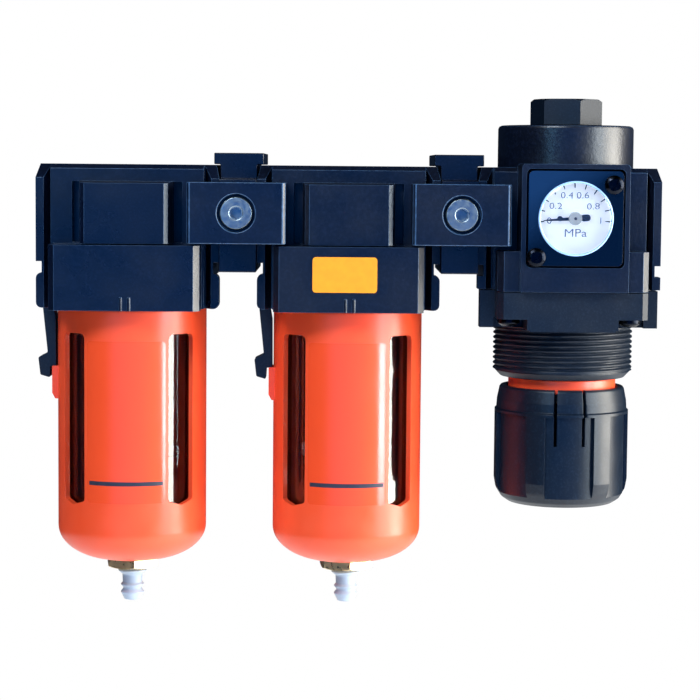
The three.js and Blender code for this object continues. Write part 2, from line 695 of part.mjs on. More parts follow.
function gaugeRound(r, front, back, sides = CLEAR_ROUND) {
  return cylinder("y", r, -front, -back, [REGULATOR_X, GAUGE_Z], sides);
}

function gaugeHole([dx, dz], r, front, back) {
  return cylinder("y", r, -front, -back, [REGULATOR_X + dx, GAUGE_Z + dz]);
}

function gaugeCase() {
  const holes = GAUGE_SCREWS.map((spot) => gaugeHole(spot, 1.7, 29, 20));
  const cavity = gaugeRound(10.2, 28, 22.6);
  const feed = gaugeRound(1.2, 30, 20, SMALL_ROUND);
  return cut(gaugePlate(13.7, 1.4, 27, 21.3), cavity, feed, ...holes);
}

// The curved tube that uncoils with pressure, on the stub that feeds it.
function bourdonTube() {
  class Bend extends THREE.Curve {
    getPoint(t, target = new THREE.Vector3()) {
      const a = rad(200 + 250 * t);
      return target.set(REGULATOR_X + 8 * Math.cos(a), -24.6, GAUGE_Z + 8 * Math.sin(a));
    }
  }
  const section = shapeOf(rectangle(1.2, 0.6, 0.3));
  const tube = solid(new THREE.ExtrudeGeometry(section, { steps: 14, extrudePath: new Bend() }));
  const foot = box(REGULATOR_X - 9, REGULATOR_X - 5.5, -25.4, -22.9, GAUGE_Z - 4.4, GAUGE_Z - 1.6);
  return joined(tube, foot);
}

function gaugeDial() {
  return cut(gaugeRound(11, 28, 27.3), gaugeRound(0.9, 30, 20, SMALL_ROUND));
}

function gaugeCover() {
  const holes = GAUGE_SCREWS.map((spot) => gaugeHole(spot, 1.7, 33, 26));
  return cut(
    gaugePlate(13.4, 1.5, 31.5, 27.3),
    gaugeRound(10.6, 33, 29),
    gaugeRound(11.3, 29.1, 26),
    ...holes,
  );
}

function gaugeLens() {
  const face = turned([[0, 0], [10.3, 0], [10.3, 1], [6, 1.5], [0, 1.7]], 0, CLEAR_ROUND);
  return face.rotate([90, 0, 0]).translate([REGULATOR_X, -30.4, GAUGE_Z]);
}

// The pointer lies at the zero mark: a tapered hand, its tail and the hub with its arbor.
function gaugePointer() {
  const hand = prismY(
    [[-8.3, -0.18], [-1, -0.45], [3.2, -0.5], [3.8, 0], [3.2, 0.5], [-1, 0.45], [-8.3, 0.18]],
    -29.1,
    -28.6,
  );
  const hub = cylinder("y", 1.9, -29.8, -28.6, [0, 0], SMALL_ROUND);
  const arbor = cylinder("y", 0.6, -28.8, -24.8, [0, 0], 8);
  return joined(hand, hub, arbor).rotate([0, -4, 0]).translate([REGULATOR_X, 0, GAUGE_Z]);
}

function gaugeScrew([dx, dz]) {
  const profile = [[0, -31.8], [2.7, -31.8], [2.7, -32.6], [1.9, -33.2], [0, -33.2]];
  const head = turned(profile, 0, MEDIUM_ROUND).rotate([-90, 0, 0]);
  const shank = cylinder("y", 1.35, -32, -17.4);
  const cross = [box(-1.4, 1.4, -34, -32.5, -0.3, 0.3), box(-0.3, 0.3, -34, -32.5, -1.4, 1.4)];
  return cut(joined(head, shank), ...cross).translate([REGULATOR_X + dx, 0, GAUGE_Z + dz]);
}

// The blank rating plate stuck on the mist filter's collar block.
function ratingPlate() {
  const y = -BLOCK_DEPTH;
  const outline = roundedRectangle(9.25, 5.1, 1, 3).map(([x, z]) => [x + MIST_X - 1.05, z - 17.3]);
  return prismY(outline, y - 0.35, y - 0.1);
}

// ---------------------------------------------------------------- assembly
const BLACK_CASTING = { color: 0x15171c, roughness: 0.45, metalness: 0.3 };
const BLACK_PLASTIC = { color: 0x101114, roughness: 0.5, metalness: 0 };
const ORANGE_PLASTIC = { color: 0xf0502a, roughness: 0.35, metalness: 0 };
const CLEAR_PLASTIC = { color: 0x9fb0b8, roughness: 0.08, metalness: 0, transparent: true, opacity: 0.35 };
const WHITE_PLASTIC = { color: 0xe9ebea, roughness: 0.4, metalness: 0 };
const RUBBER = { color: 0x1a1a1a, roughness: 0.8, metalness: 0 };
const STEEL = { color: 0x9a9c9e, roughness: 0.35, metalness: 1 };
const BRASS = { color: 0xc9a44e, roughness: 0.3, metalness: 1 };

const unit = new THREE.Group();

// Adds one solid to a group as its own named mesh.
function addMesh(group, name, made, look) {
  const { vertProperties, triVerts } = made.getMesh();
  const geometry = new THREE.BufferGeometry();
  geometry.setAttribute("position", new THREE.BufferAttribute(vertProperties, 3));
  geometry.setIndex(new THREE.BufferAttribute(triVerts, 1));
  const material = new THREE.MeshStandardMaterial({ ...look, flatShading: true });
  const mesh = new THREE.Mesh(geometry, material);
  mesh.name = name;
  group.add(mesh);
}

function addBowlAssembly(group, prefix, cx) {
  addMesh(group, prefix + "_bowl_seal", ringSeal(17.8, 0.75, cx, -15, ROUND), RUBBER);
  addMesh(group, prefix + "_bowl", bowl(cx), CLEAR_PLASTIC);
  addMesh(group, prefix + "_bowl_guard", bowlGuard(cx), ORANGE_PLASTIC);
  addMesh(group, prefix + "_lock_lever", lockLever(cx), BLACK_PLASTIC);
  addMesh(group, prefix + "_drain_nut", drainNut(cx), BRASS);
  addMesh(group, prefix + "_drain_cock", drainCock(cx), WHITE_PLASTIC);
}

function filterModule() {
  const group = new THREE.Group();
  addMesh(group, "filter_body", filterBody(FILTER_X), BLACK_CASTING);
  addMesh(group, "filter_deflector", deflector(FILTER_X), BLACK_PLASTIC);
  addMesh(group, "filter_element", filterElement(FILTER_X), WHITE_PLASTIC);
  addMesh(group, "filter_baffle", baffle(FILTER_X), BLACK_PLASTIC);
  addBowlAssembly(group, "filter", FILTER_X);
  return group;
}

function mistModule() {
  const group = new THREE.Group();
  addMesh(group, "mist_body", filterBody(MIST_X), BLACK_CASTING);
  addMesh(group, "mist_element", mistElement(MIST_X), WHITE_PLASTIC);
  addMesh(group, "mist_element_holder", mistElementHolder(MIST_X), BLACK_PLASTIC);
  addMesh(group, "rating_plate", ratingPlate(), { color: 0xf5a015, roughness: 0.4, metalness: 0 });
  addBowlAssembly(group, "mist", MIST_X);
  return group;
}

function spacerModule(name, x) {
  const group = new THREE.Group();
  addMesh(group, name, spacer(x), BLACK_CASTING);
  addMesh(group, name + "_inlet_seal", spacerSeal(x, -1), RUBBER);
  addMesh(group, name + "_outlet_seal", spacerSeal(x, 1), RUBBER);
  for (const [where, face] of [["front", -1], ["rear", 1]]) {
    addMesh(group, name + "_" + where + "_clamp", clamp(x, face), BLACK_CASTING);
    addMesh(group, name + "_" + where + "_screw", clampScrew(x, face), STEEL);
  }
  return group;
}

function regulatorModule() {
  const group = new THREE.Group();
  addMesh(group, "regulator_body", regulatorBody(), BLACK_CASTING);
  addMesh(group, "valve_plug", valvePlug(), BLACK_PLASTIC);
  addMesh(group, "valve_plug_seal", ringSeal(8.1, 0.6, REGULATOR_X, 21.7, MEDIUM_ROUND), RUBBER);
  addMesh(group, "valve", valve(), BRASS);
  addMesh(group, "valve_spring", coilSpring(REGULATOR_X, 4.2, 0.45, 5.9, 12, 4, 8), STEEL);
  addMesh(group, "diaphragm", diaphragm(), RUBBER);
  addMesh(group, "diaphragm_plate", diaphragmPlate(), STEEL);
  addMesh(group, "pressure_spring", coilSpring(REGULATOR_X, 10, 1.1, -39.6, -25.3, 3.5, 12), STEEL);
  addMesh(group, "spring_seat", springSeat(), STEEL);
  addMesh(group, "adjusting_screw", adjustingScrew(), STEEL);
  addMesh(group, "bonnet", bonnet(), BLACK_PLASTIC);
  SCREW_SPOTS.forEach((spot, i) => addMesh(group, "bonnet_screw_" + (i + 1), bonnetScrew(spot), STEEL));
  addMesh(group, "lock_ring", lockRing(), ORANGE_PLASTIC);
  addMesh(group, "knob", knob(), BLACK_PLASTIC);
  return group;
}

function gaugeModule() {
  const group = new THREE.Group();
  addMesh(group, "gauge_case", gaugeCase(), BLACK_PLASTIC);
  addMesh(group, "bourdon_tube", bourdonTube(), BRASS);
  addMesh(group, "gauge_dial", gaugeDial(), WHITE_PLASTIC);
  addMesh(group, "gauge_cover", gaugeCover(), BLACK_PLASTIC);
  addMesh(group, "gauge_lens", gaugeLens(), CLEAR_PLASTIC);
  addMesh(group, "gauge_pointer", gaugePointer(), BLACK_PLASTIC);
  GAUGE_SCREWS.forEach((spot, i) => {
    addMesh(group, "gauge_screw_" + (i + 1), gaugeScrew(spot), BLACK_CASTING);
  });
  return group;
}

unit.add(
  filterModule(),
  spacerModule("spacer_1", FILTER_X + PITCH / 2),
  mistModule(),
  spacerModule("spacer_2", MIST_X + PITCH / 2),
  regulatorModule(),
  gaugeModule(),
);

export default unit;
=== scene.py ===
"""Looks for the modular air-preparation unit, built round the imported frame. Blender 4.5.

Outlines and depths are in millimetres in the row frame: x along the flow, y to the back, z up.
Each module's middle comes from its CAD node. Every object is in metres.
"""

import math

import bmesh
import bpy
from mathutils import Euler, Matrix, Vector


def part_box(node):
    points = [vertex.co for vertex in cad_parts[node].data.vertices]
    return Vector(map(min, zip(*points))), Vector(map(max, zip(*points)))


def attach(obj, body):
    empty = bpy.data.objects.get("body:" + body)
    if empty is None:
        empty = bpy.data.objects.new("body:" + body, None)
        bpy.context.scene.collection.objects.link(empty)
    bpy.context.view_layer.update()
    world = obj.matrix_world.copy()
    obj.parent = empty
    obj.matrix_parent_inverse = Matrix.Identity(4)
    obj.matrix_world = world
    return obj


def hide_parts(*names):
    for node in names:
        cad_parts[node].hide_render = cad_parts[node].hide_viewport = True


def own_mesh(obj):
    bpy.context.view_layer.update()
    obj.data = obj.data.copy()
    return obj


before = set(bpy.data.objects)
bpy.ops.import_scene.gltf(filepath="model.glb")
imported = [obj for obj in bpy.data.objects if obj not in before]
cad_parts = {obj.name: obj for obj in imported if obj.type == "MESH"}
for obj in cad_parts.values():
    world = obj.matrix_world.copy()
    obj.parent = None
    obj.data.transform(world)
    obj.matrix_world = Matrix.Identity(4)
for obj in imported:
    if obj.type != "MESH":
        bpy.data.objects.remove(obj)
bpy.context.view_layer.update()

MM = 0.001
SMOOTH_ANGLE = math.radians(32)
FINE = 144  # sides of a large round
SMALL = 64  # sides of a small round


def middle_x(node):
    """The x of a CAD node's middle, in millimetres."""
    low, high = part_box(node)
    return (low.x + high.x) / 2 / MM


FILTER_X = middle_x("filter_body")
MIST_X = middle_x("mist_body")
REGULATOR_X = middle_x("regulator_body")
SPACER_X = {"spacer_1": middle_x("spacer_1"), "spacer_2": middle_x("spacer_2")}
GAUGE_Z = -0.7


# ------------------------------------------------------------------ outlines
def soften(outline, radius, steps=4):
    """The closed outline with its corners rounded; a corner's third value is its own radius."""
    result = []
    for i, corner in enumerate(outline):
        here = Vector(corner[:2])
        wanted = corner[2] if len(corner) > 2 else radius
        before = Vector(outline[i - 1][:2]) - here
        after = Vector(outline[(i + 1) % len(outline)][:2]) - here
        inner = before.angle(after, math.pi)
        if wanted <= 0 or inner > math.radians(177):
            result.append((here.x, here.y))
            continue
        reach = min(wanted / math.tan(inner / 2), 0.48 * before.length, 0.48 * after.length)
        r = reach * math.tan(inner / 2)
        toward = (before.normalized() + after.normalized()).normalized()
        centre = here + toward * (r / math.sin(inner / 2))
        start = here + before.normalized() * reach - centre
        end = here + after.normalized() * reach - centre
        from_angle = math.atan2(start.y, start.x)
        sweep = math.atan2(start.cross(end), start.dot(end))
        for k in range(steps + 1):
            a = from_angle + sweep * k / steps
            result.append((centre.x + r * math.cos(a), centre.y + r * math.sin(a)))
    return result


def rectangle(half_a, half_b, middle=(0, 0)):
    """A rectangle's outline, anticlockwise."""
    a, b = middle
    return [
        (a - half_a, b - half_b),
        (a + half_a, b - half_b),
        (a + half_a, b + half_b),
        (a - half_a, b + half_b),
    ]


def polygon(sides, across_flats, turn=0, middle=(0, 0)):
    """A regular polygon; turn is its first corner's angle in degrees."""
    r = across_flats / 2 / math.cos(math.pi / sides)
    angles = [math.radians(turn) + 2 * math.pi * i / sides for i in range(sides)]
    return [(middle[0] + r * math.cos(a), middle[1] + r * math.sin(a)) for a in angles]


def arc(r, z, width, height, start, end, steps=16):
    """Points of a turned outline on an oval arc about (r, z), from one angle to another."""
    angles = [math.radians(start + (end - start) * i / steps) for i in range(steps + 1)]
    return [(r + width * math.cos(a), z + height * math.sin(a), 0) for a in angles]


def circle(r, middle=(0, 0), sides=SMALL):
    """A circle's outline, with its corners on the radius."""
    return polygon(sides, 2 * r * math.cos(math.pi / sides), 0, middle)


# ------------------------------------------------------------------ solids
def mesh_object(name, verts, faces):
    """A closed mesh from points in millimetres, its normals turned outward."""
    mesh = bpy.data.meshes.new(name)
    mesh.from_pydata([Vector(v) * MM for v in verts], [], faces)
    bm = bmesh.new()
    bm.from_mesh(mesh)
    bmesh.ops.remove_doubles(bm, verts=bm.verts, dist=1e-7)
    bmesh.ops.dissolve_degenerate(bm, edges=bm.edges, dist=1e-8)
    bmesh.ops.recalc_face_normals(bm, faces=bm.faces)
    bm.to_mesh(mesh)
    bm.free()
    obj = bpy.data.objects.new(name, mesh)
    bpy.context.scene.collection.objects.link(obj)
    return obj


def lathe(name, outline, x=0, y=0, sides=FINE):
    """A solid of revolution about the vertical through (x, y), from a closed (r, z) outline."""
    count = len(outline)
    verts, faces = [], []
    for s in range(sides):
        a = 2 * math.pi * s / sides
        verts += [(x + r * math.cos(a), y + r * math.sin(a), z) for r, z in outline]
        here, there = s * count, (s + 1) % sides * count
        for i in range(count):
            j = (i + 1) % count
            faces.append((here + i, there + i, there + j, here + j))
    return mesh_object(name, verts, faces)


def prism(name, axis, outline, a, b):
    """An outline pushed along an axis: (x, y) along z, (x, z) along y, or (y, z) along x."""
    put = {
        "z": lambda p, t: (p[0], p[1], t),
        "y": lambda p, t: (p[0], t, p[1]),
        "x": lambda p, t: (t, p[0], p[1]),
    }[axis]
    count = len(outline)
    verts = [put(p, a) for p in outline] + [put(p, b) for p in outline]
    faces = [tuple(range(count)), tuple(range(count, 2 * count))]
    for i in range(count):
        j = (i + 1) % count
        faces.append((i, j, count + j, count + i))
    return mesh_object(name, verts, faces)


def block(x0, x1, y0, y1, z0, z1):
    """A box between two limits on each axis."""
    outline = rectangle((x1 - x0) / 2, (y1 - y0) / 2, ((x0 + x1) / 2, (y0 + y1) / 2))
    return prism("block", "z", outline, z0, z1)


def rod(axis, r, a, b, middle=(0, 0), sides=SMALL):
    """A cylinder along an axis, from a to b."""
    return prism("rod", axis, circle(r, middle, sides), a, b)


def turn(obj, degrees, about=(0, 0, 0), axis="Z"):
    """Turns an object's mesh about an axis through a point in millimetres."""
    at = Matrix.Translation(Vector(about) * MM)
    obj.data.transform(at @ Matrix.Rotation(math.radians(degrees), 4, axis) @ at.inverted())
    return obj


def shift(obj, x, y=0, z=0):
    """Moves an object's mesh by millimetres."""
    obj.data.transform(Matrix.Translation(Vector((x, y, z)) * MM))
    return obj


def mirror_back(obj):
    """Puts a front piece on the back: half a turn about the vertical through its own middle."""
    xs = [v.co.x for v in obj.data.vertices]
    return turn(obj, 180, ((min(xs) + max(xs)) / 2 / MM, 0, 0))


def bake_modifiers(obj):
    """Replaces an object's mesh with what its modifiers make of it."""
    evaluated = obj.evaluated_get(bpy.context.evaluated_depsgraph_get())
    mesh = bpy.data.meshes.new_from_object(evaluated)
    obj.modifiers.clear()
    obj.data = mesh
    return obj


def combine(target, others, operation):
    """Combines the target with the others, which are used up."""
    for other in others:
        step = target.modifiers.new("combine", "BOOLEAN")
        step.operation = operation
        step.solver = "EXACT"
        step.object = other
    bake_modifiers(target)
    for other in others:
        bpy.data.objects.remove(other)
    return target


def fuse(target, *others):
    return combine(target, others, "UNION")


def carve(target, *others):
    return combine(target, others, "DIFFERENCE")


def join(name, objects):
    """Several solids as one mesh, left as they are."""
    bm = bmesh.new()
    for obj in objects:
        bm.from_mesh(obj.data)
        bpy.data.objects.remove(obj)
    mesh = bpy.data.meshes.new(name)
    bm.to_mesh(mesh)
    bm.free()
    obj = bpy.data.objects.new(name, mesh)
    bpy.context.scene.collection.objects.link(obj)
    return obj


def round_edges(obj, width, segments=3, angle=35):
    """Rounds the sharp edges of a solid with live modifiers, after joining its flat faces."""
    obj.data.polygons.foreach_set("use_smooth", [True] * len(obj.data.polygons))
    weld = obj.modifiers.new("weld", "WELD")
    weld.merge_threshold = 0.00002
    flat = obj.modifiers.new("flat", "DECIMATE")
    flat.decimate_type = "DISSOLVE"
    flat.angle_limit = math.radians(0.5)
    bevel = obj.modifiers.new("round", "BEVEL")
    bevel.width = width * MM
    bevel.segments = segments
    bevel.limit_method = "ANGLE"
    bevel.angle_limit = math.radians(angle)
    bevel.miter_outer = "MITER_ARC"
    weighted = obj.modifiers.new("weighted", "WEIGHTED_NORMAL")
    weighted.weight = 90
    return obj


def smooth(obj, angle=SMOOTH_ANGLE):
    """Shades an object smooth, leaving corners above the angle sharp."""
    obj.data.polygons.foreach_set("use_smooth", [True] * len(obj.data.polygons))
    obj.data.set_sharp_from_angle(angle=angle)
    return obj


def place(obj, name, material, body, replaces=(), painted_highlight_edges=None):
    """Names a finished piece, gives it its materials and fixes it to its CAD body; a second material paints
    a highlight on its rounded edges.
    """
    obj.name = name
    obj.data.materials.clear()
    obj.data.materials.append(material)
    if painted_highlight_edges:
        obj.data.materials.append(painted_highlight_edges)
        # The rounded edges carry the painted highlight material.
        obj.modifiers["round"].material = 1
    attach(obj, body)
    if replaces:
        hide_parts(*replaces)
    return obj


def dress(node, material):
    """Gives a CAD node that stays in view its material."""
    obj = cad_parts[node]
    obj.data.materials.clear()
    obj.data.materials.append(material)
    return obj


# ------------------------------------------------------------------ materials
class Look:
    """A principled material with helpers for the node chains that vary its surface."""

    def __init__(self, name, color, roughness, metallic=0.0, **sockets):
        self.material = bpy.data.materials.new(name)
        self.material.use_nodes = True
        self.tree = self.material.node_tree
        self.shader = self.tree.nodes["Principled BSDF"]
        self.color = (*color, 1)
        self.shader.inputs["Base Color"].default_value = self.color
        self.shader.inputs["Roughness"].default_value = roughness
        self.shader.inputs["Metallic"].default_value = metallic
        for socket, value in sockets.items():
            self.shader.inputs[socket.replace("_", " ")].default_value = value
        self.place = self.node("ShaderNodeTexCoord").outputs["Object"]
        self.height = None

    def node(self, kind, **settings):
        made = self.tree.nodes.new(kind)
        for key, value in settings.items():
            setattr(made, key, value)
        return made

    def link(self, a, b):
        self.tree.links.new(a, b)

    def noise(self, scale, detail=3.0, stretch=(1, 1, 1)):
        mapping = self.node("ShaderNodeMapping")
        mapping.inputs["Scale"].default_value = stretch
        self.link(self.place, mapping.inputs["Vector"])
        made = self.node("ShaderNodeTexNoise")
        made.inputs["Scale"].default_value = scale
        made.inputs["Detail"].default_value = detail
        self.link(mapping.outputs["Vector"], made.inputs["Vector"])
        return made.outputs["Fac"]

    def spread(self, value, low, high, start=0.3, end=0.7):
        made = self.node("ShaderNodeMapRange")
        made.inputs["From Min"].default_value = start
        made.inputs["From Max"].default_value = end
        made.inputs["To Min"].default_value = low
        made.inputs["To Max"].default_value = high
        self.link(value, made.inputs["Value"])
        return made.outputs["Result"]

    def tint(self, value, other):
        """Mixes the base colour with another where value is high."""
        mix = self.node("ShaderNodeMix", data_type="RGBA")
        mix.inputs["A"].default_value = self.color
        mix.inputs["B"].default_value = (*other, 1)
        self.link(value, mix.inputs["Factor"])
        self.link(mix.outputs["Result"], self.shader.inputs["Base Color"])
        return self

    def rough(self, value):
        self.link(value, self.shader.inputs["Roughness"])
        return self

    def bump(self, value, strength, distance):
        made = self.node("ShaderNodeBump")
        made.inputs["Strength"].default_value = strength
        made.inputs["Distance"].default_value = distance * MM
        self.link(value, made.inputs["Height"])
        if self.height:
            self.link(self.height, made.inputs["Normal"])
        self.height = made.outputs["Normal"]
        self.link(self.height, self.shader.inputs["Normal"])
        return self


def casting(name, color, grain, roughness, relief):
    """Black paint over a die casting: an even fine grain, faint flow marks and duller patches."""
    look = Look(name, color, roughness)
    fine = look.noise(grain, 2)
    wide = look.noise(60, 4)
    look.rough(look.spread(wide, roughness - 0.05, roughness + 0.08))
    look.tint(look.spread(fine, 0, 1, 0.45, 0.75), tuple(c * 1.8 + 0.002 for c in color))
    look.bump(fine, 0.5, relief).bump(look.noise(220, 3), 0.06, 0.06)
    return look.material


def black_plastic(name, roughness, grain=1800, strength=0.2):
    """Moulded black plastic with a fine, even grain."""
    look = Look(name, (0.002, 0.006, 0.014), roughness, Specular_IOR_Level=0.33)
    fine = look.noise(grain, 2)
    look.rough(look.spread(look.noise(90, 4), roughness - 0.05, roughness + 0.07))
    look.tint(look.spread(fine, 0, 1, 0.5, 0.8), (0.008, 0.016, 0.03))
    look.bump(fine, strength, 0.04)
    return look.material


def orange_plastic():
    """Smooth moulded orange: a faint flow mottle under a soft gloss."""
    look = Look("orange_plastic", (0.88, 0.07, 0.018), 0.33, Subsurface_Weight=0.06)
    look.shader.inputs["Subsurface Radius"].default_value = (0.004, 0.001, 0.0005)
    look.shader.inputs["Subsurface Scale"].default_value = 1.0
    look.tint(look.spread(look.noise(35, 4), 0, 1), (0.92, 0.088, 0.025))
    look.rough(look.spread(look.noise(140, 4), 0.28, 0.4))
    look.bump(look.noise(900, 2), 0.08, 0.03)
    return look.material


def label_film():
    """The glossy film on the guard's front, a little wavy."""
    look = Look("label_film", (0.88, 0.075, 0.02), 0.22, Coat_Weight=0.4, Coat_Roughness=0.1)
    look.rough(look.spread(look.noise(120, 3), 0.12, 0.24))
    look.bump(look.noise(70, 2), 0.12, 0.15)
    return look.material


def clear_plastic(name, color, roughness, ior=1.58):
    """Clear moulding with a slight flow ripple along its height."""
    look = Look(name, color, roughness, Transmission_Weight=1.0, IOR=ior)
    look.rough(look.spread(look.noise(160, 3), roughness, roughness + 0.05))
    look.bump(look.noise(45, 2, (1, 1, 0.3)), 0.05, 0.2)
    return look.material


def white_nylon():
    look = Look("white_nylon", (0.42, 0.48, 0.56), 0.3)
    look.tint(look.spread(look.noise(300, 3), 0, 1), (0.38, 0.44, 0.52))
    look.bump(look.noise(1200, 2), 0.1, 0.03)
    return look.material


def filter_media():
    """Coarse, porous white fibre."""
    look = Look("filter_media", (0.8, 0.8, 0.76), 0.9)
    grains = look.noise(1400, 5)
    look.tint(look.spread(grains, 0, 1), (0.62, 0.62, 0.58))
    look.bump(grains, 0.8, 0.25)
    return look.material


def metal(name, color, roughness, grain=(1, 1, 1), scale=900):
    look = Look(name, color, roughness, metallic=1.0)
    lines = look.noise(scale, 4, grain)
    look.rough(look.spread(lines, roughness - 0.06, roughness + 0.12))
    look.tint(look.spread(look.noise(400, 3), 0, 1), tuple(c * 0.8 for c in color))
    look.bump(lines, 0.15, 0.03)
    return look.material


def rubber():
    look = Look("rubber", (0.012, 0.012, 0.013), 0.7)
    look.rough(look.spread(look.noise(300, 3), 0.6, 0.8))
    look.bump(look.noise(1500, 3), 0.25, 0.05)
    return look.material


def printed(name, color, other, roughness, painted_glow=0.0):
    """Printed or painted surfaces: an even colour with a faint mottle; glow is painted light, an emission
    that lifts a white dial.
    """
    # The emission is painted light.
    look = Look(name, color, roughness, Emission_Color=(*color, 1), Emission_Strength=painted_glow)
    look.tint(look.spread(look.noise(500, 3), 0, 1), other)
    look.rough(look.spread(look.noise(250, 2), roughness - 0.04, roughness + 0.06))
    look.bump(look.noise(1500, 2), 0.06, 0.02)
    return look.material


def gauge_gloss():
    """The gauge cover's gloss black, with a painted blue highlight towards its upper left corner."""
    look = Look("gloss_black", (0.001, 0.002, 0.006), 0.09)
    axes = look.node("ShaderNodeSeparateXYZ")
    look.link(look.place, axes.inputs["Vector"])
    slant = look.node("ShaderNodeMath", operation="MULTIPLY_ADD")
    slant.inputs[1].default_value = -0.7
    look.link(axes.outputs["X"], slant.inputs[0])
    look.link(axes.outputs["Z"], slant.inputs[2])
    middle = (GAUGE_Z - 0.7 * REGULATOR_X) * MM
    painted_highlight_share = look.spread(slant.outputs["Value"], 0, 1, middle - 0.001, middle + 0.016)
    # Painted highlight: the cover turns blue towards its upper left corner.
    look.tint(painted_highlight_share, (0.006, 0.022, 0.065))
    look.bump(look.noise(300, 2), 0.03, 0.02)
    return look.material


SMOOTH_CASTING = casting("smooth_casting", (0.0005, 0.003, 0.012), 1500, 0.28, 0.03)
GRAINY_CASTING = casting("grainy_casting", (0.001, 0.003, 0.010), 1000, 0.32, 0.12)
# Pale blue on the rounded edges is a painted highlight: the thin light lines along the castings' edges.
PAINTED_EDGE_HIGHLIGHT = casting("painted_edge_highlight", (0.025, 0.06, 0.12), 700, 0.4, 0.04)
PLASTIC = black_plastic("black_plastic", 0.42)
KNOB_PLASTIC = black_plastic("knob_plastic", 0.34, 1500, 0.12)
GLOSS = gauge_gloss()
ORANGE = orange_plastic()
FILM = label_film()
# The bowl's grey-blue tint is painted shade: it darkens what shows through the guard's windows.
CLEAR = clear_plastic("clear_bowl", (0.62, 0.68, 0.72), 0.03)
# The lens rim's pale blue and its glow are a painted highlight.
RIM_PAINTED_HIGHLIGHT = printed("lens_rim_painted_highlight", (0.3, 0.5, 0.85), (0.4, 0.6, 0.95), 0.15, 0.15)
LENS = clear_plastic("clear_lens", (0.97, 0.98, 1.0), 0.0, 1.49)
NYLON = white_nylon()
MEDIA = filter_media()
STEEL = metal("zinc_steel", (0.3, 0.35, 0.37), 0.36)
BLACK_STEEL = metal("black_steel", (0.012, 0.014, 0.02), 0.22)
BRASS = metal("brass", (0.9, 0.66, 0.34), 0.3)
RUBBER = rubber()
# The dial's glow is painted light that brightens its white.
DIAL = printed("dial_white", (0.9, 0.93, 0.95), (0.87, 0.91, 0.94), 0.45, 0.45)
INK = printed("dial_ink", (0.012, 0.014, 0.03), (0.02, 0.022, 0.04), 0.5)
# The numerals' glow is painted light.
NUMERALS = printed("numeral_ink", (0.12, 0.14, 0.25), (0.15, 0.17, 0.28), 0.5, 0.2)
HUB = printed("hub_grey", (0.55, 0.55, 0.52), (0.6, 0.6, 0.57), 0.35)
PLATE = printed("plate_orange", (0.9, 0.3, 0.0), (0.86, 0.27, 0.0), 0.6)


# ------------------------------------------------------------------ camera, light and floor
def camera():
    """A long lens in front, slightly above the unit and looking down a little."""
    data = bpy.data.cameras.new("camera")
    focal_pixels, frame_pixels, sensor = 2150, 700, 36
    data.sensor_width = sensor
    data.lens = sensor * focal_pixels / frame_pixels
    data.clip_end = 20
    obj = bpy.data.objects.new("camera", data)
    obj.location = Vector((MIST_X - 3.2, -638.5, 12.6)) * MM
    yaw, pitch, roll = math.radians(-0.356), math.radians(4.8), math.radians(0.5)
    look = (
        Matrix.Rotation(yaw, 4, "Z")
        @ Matrix.Rotation(math.pi / 2 - pitch, 4, "X")
        @ Matrix.Rotation(roll, 4, "Z")
    )
    obj.rotation_euler = look.to_euler()
    bpy.context.scene.collection.objects.link(obj)
    bpy.context.scene.camera = obj


def area_light(name, where, target, size, power, color):
    """A rectangular lamp at a place in metres, facing the target."""
    data = bpy.data.lights.new(name, "AREA")
    data.shape = "RECTANGLE"
    data.size, data.size_y = size
    data.energy = power
    data.color = color
    obj = bpy.data.objects.new(name, data)
    obj.location = where
    obj.rotation_euler = (Vector(target) - Vector(where)).to_track_quat("-Z", "Y").to_euler()
    bpy.context.scene.collection.objects.link(obj)


def graded(tree, value, start, end, low, high):
    """A colour that goes smoothly from low to high while value goes from start to end."""
    step = tree.nodes.new("ShaderNodeMapRange")
    step.interpolation_type = "SMOOTHSTEP"
    step.inputs["From Min"].default_value = start
    step.inputs["From Max"].default_value = end
    mix = tree.nodes.new("ShaderNodeMix")
    mix.data_type = "RGBA"
    for socket, source in (("A", low), ("B", high)):
        if isinstance(source, tuple):
            mix.inputs[socket].default_value = (*source, 1)
        else:
            tree.links.new(source, mix.inputs[socket])
    tree.links.new(value, step.inputs["Value"])
    tree.links.new(step.outputs["Result"], mix.inputs["Factor"])
    return mix.outputs["Result"]


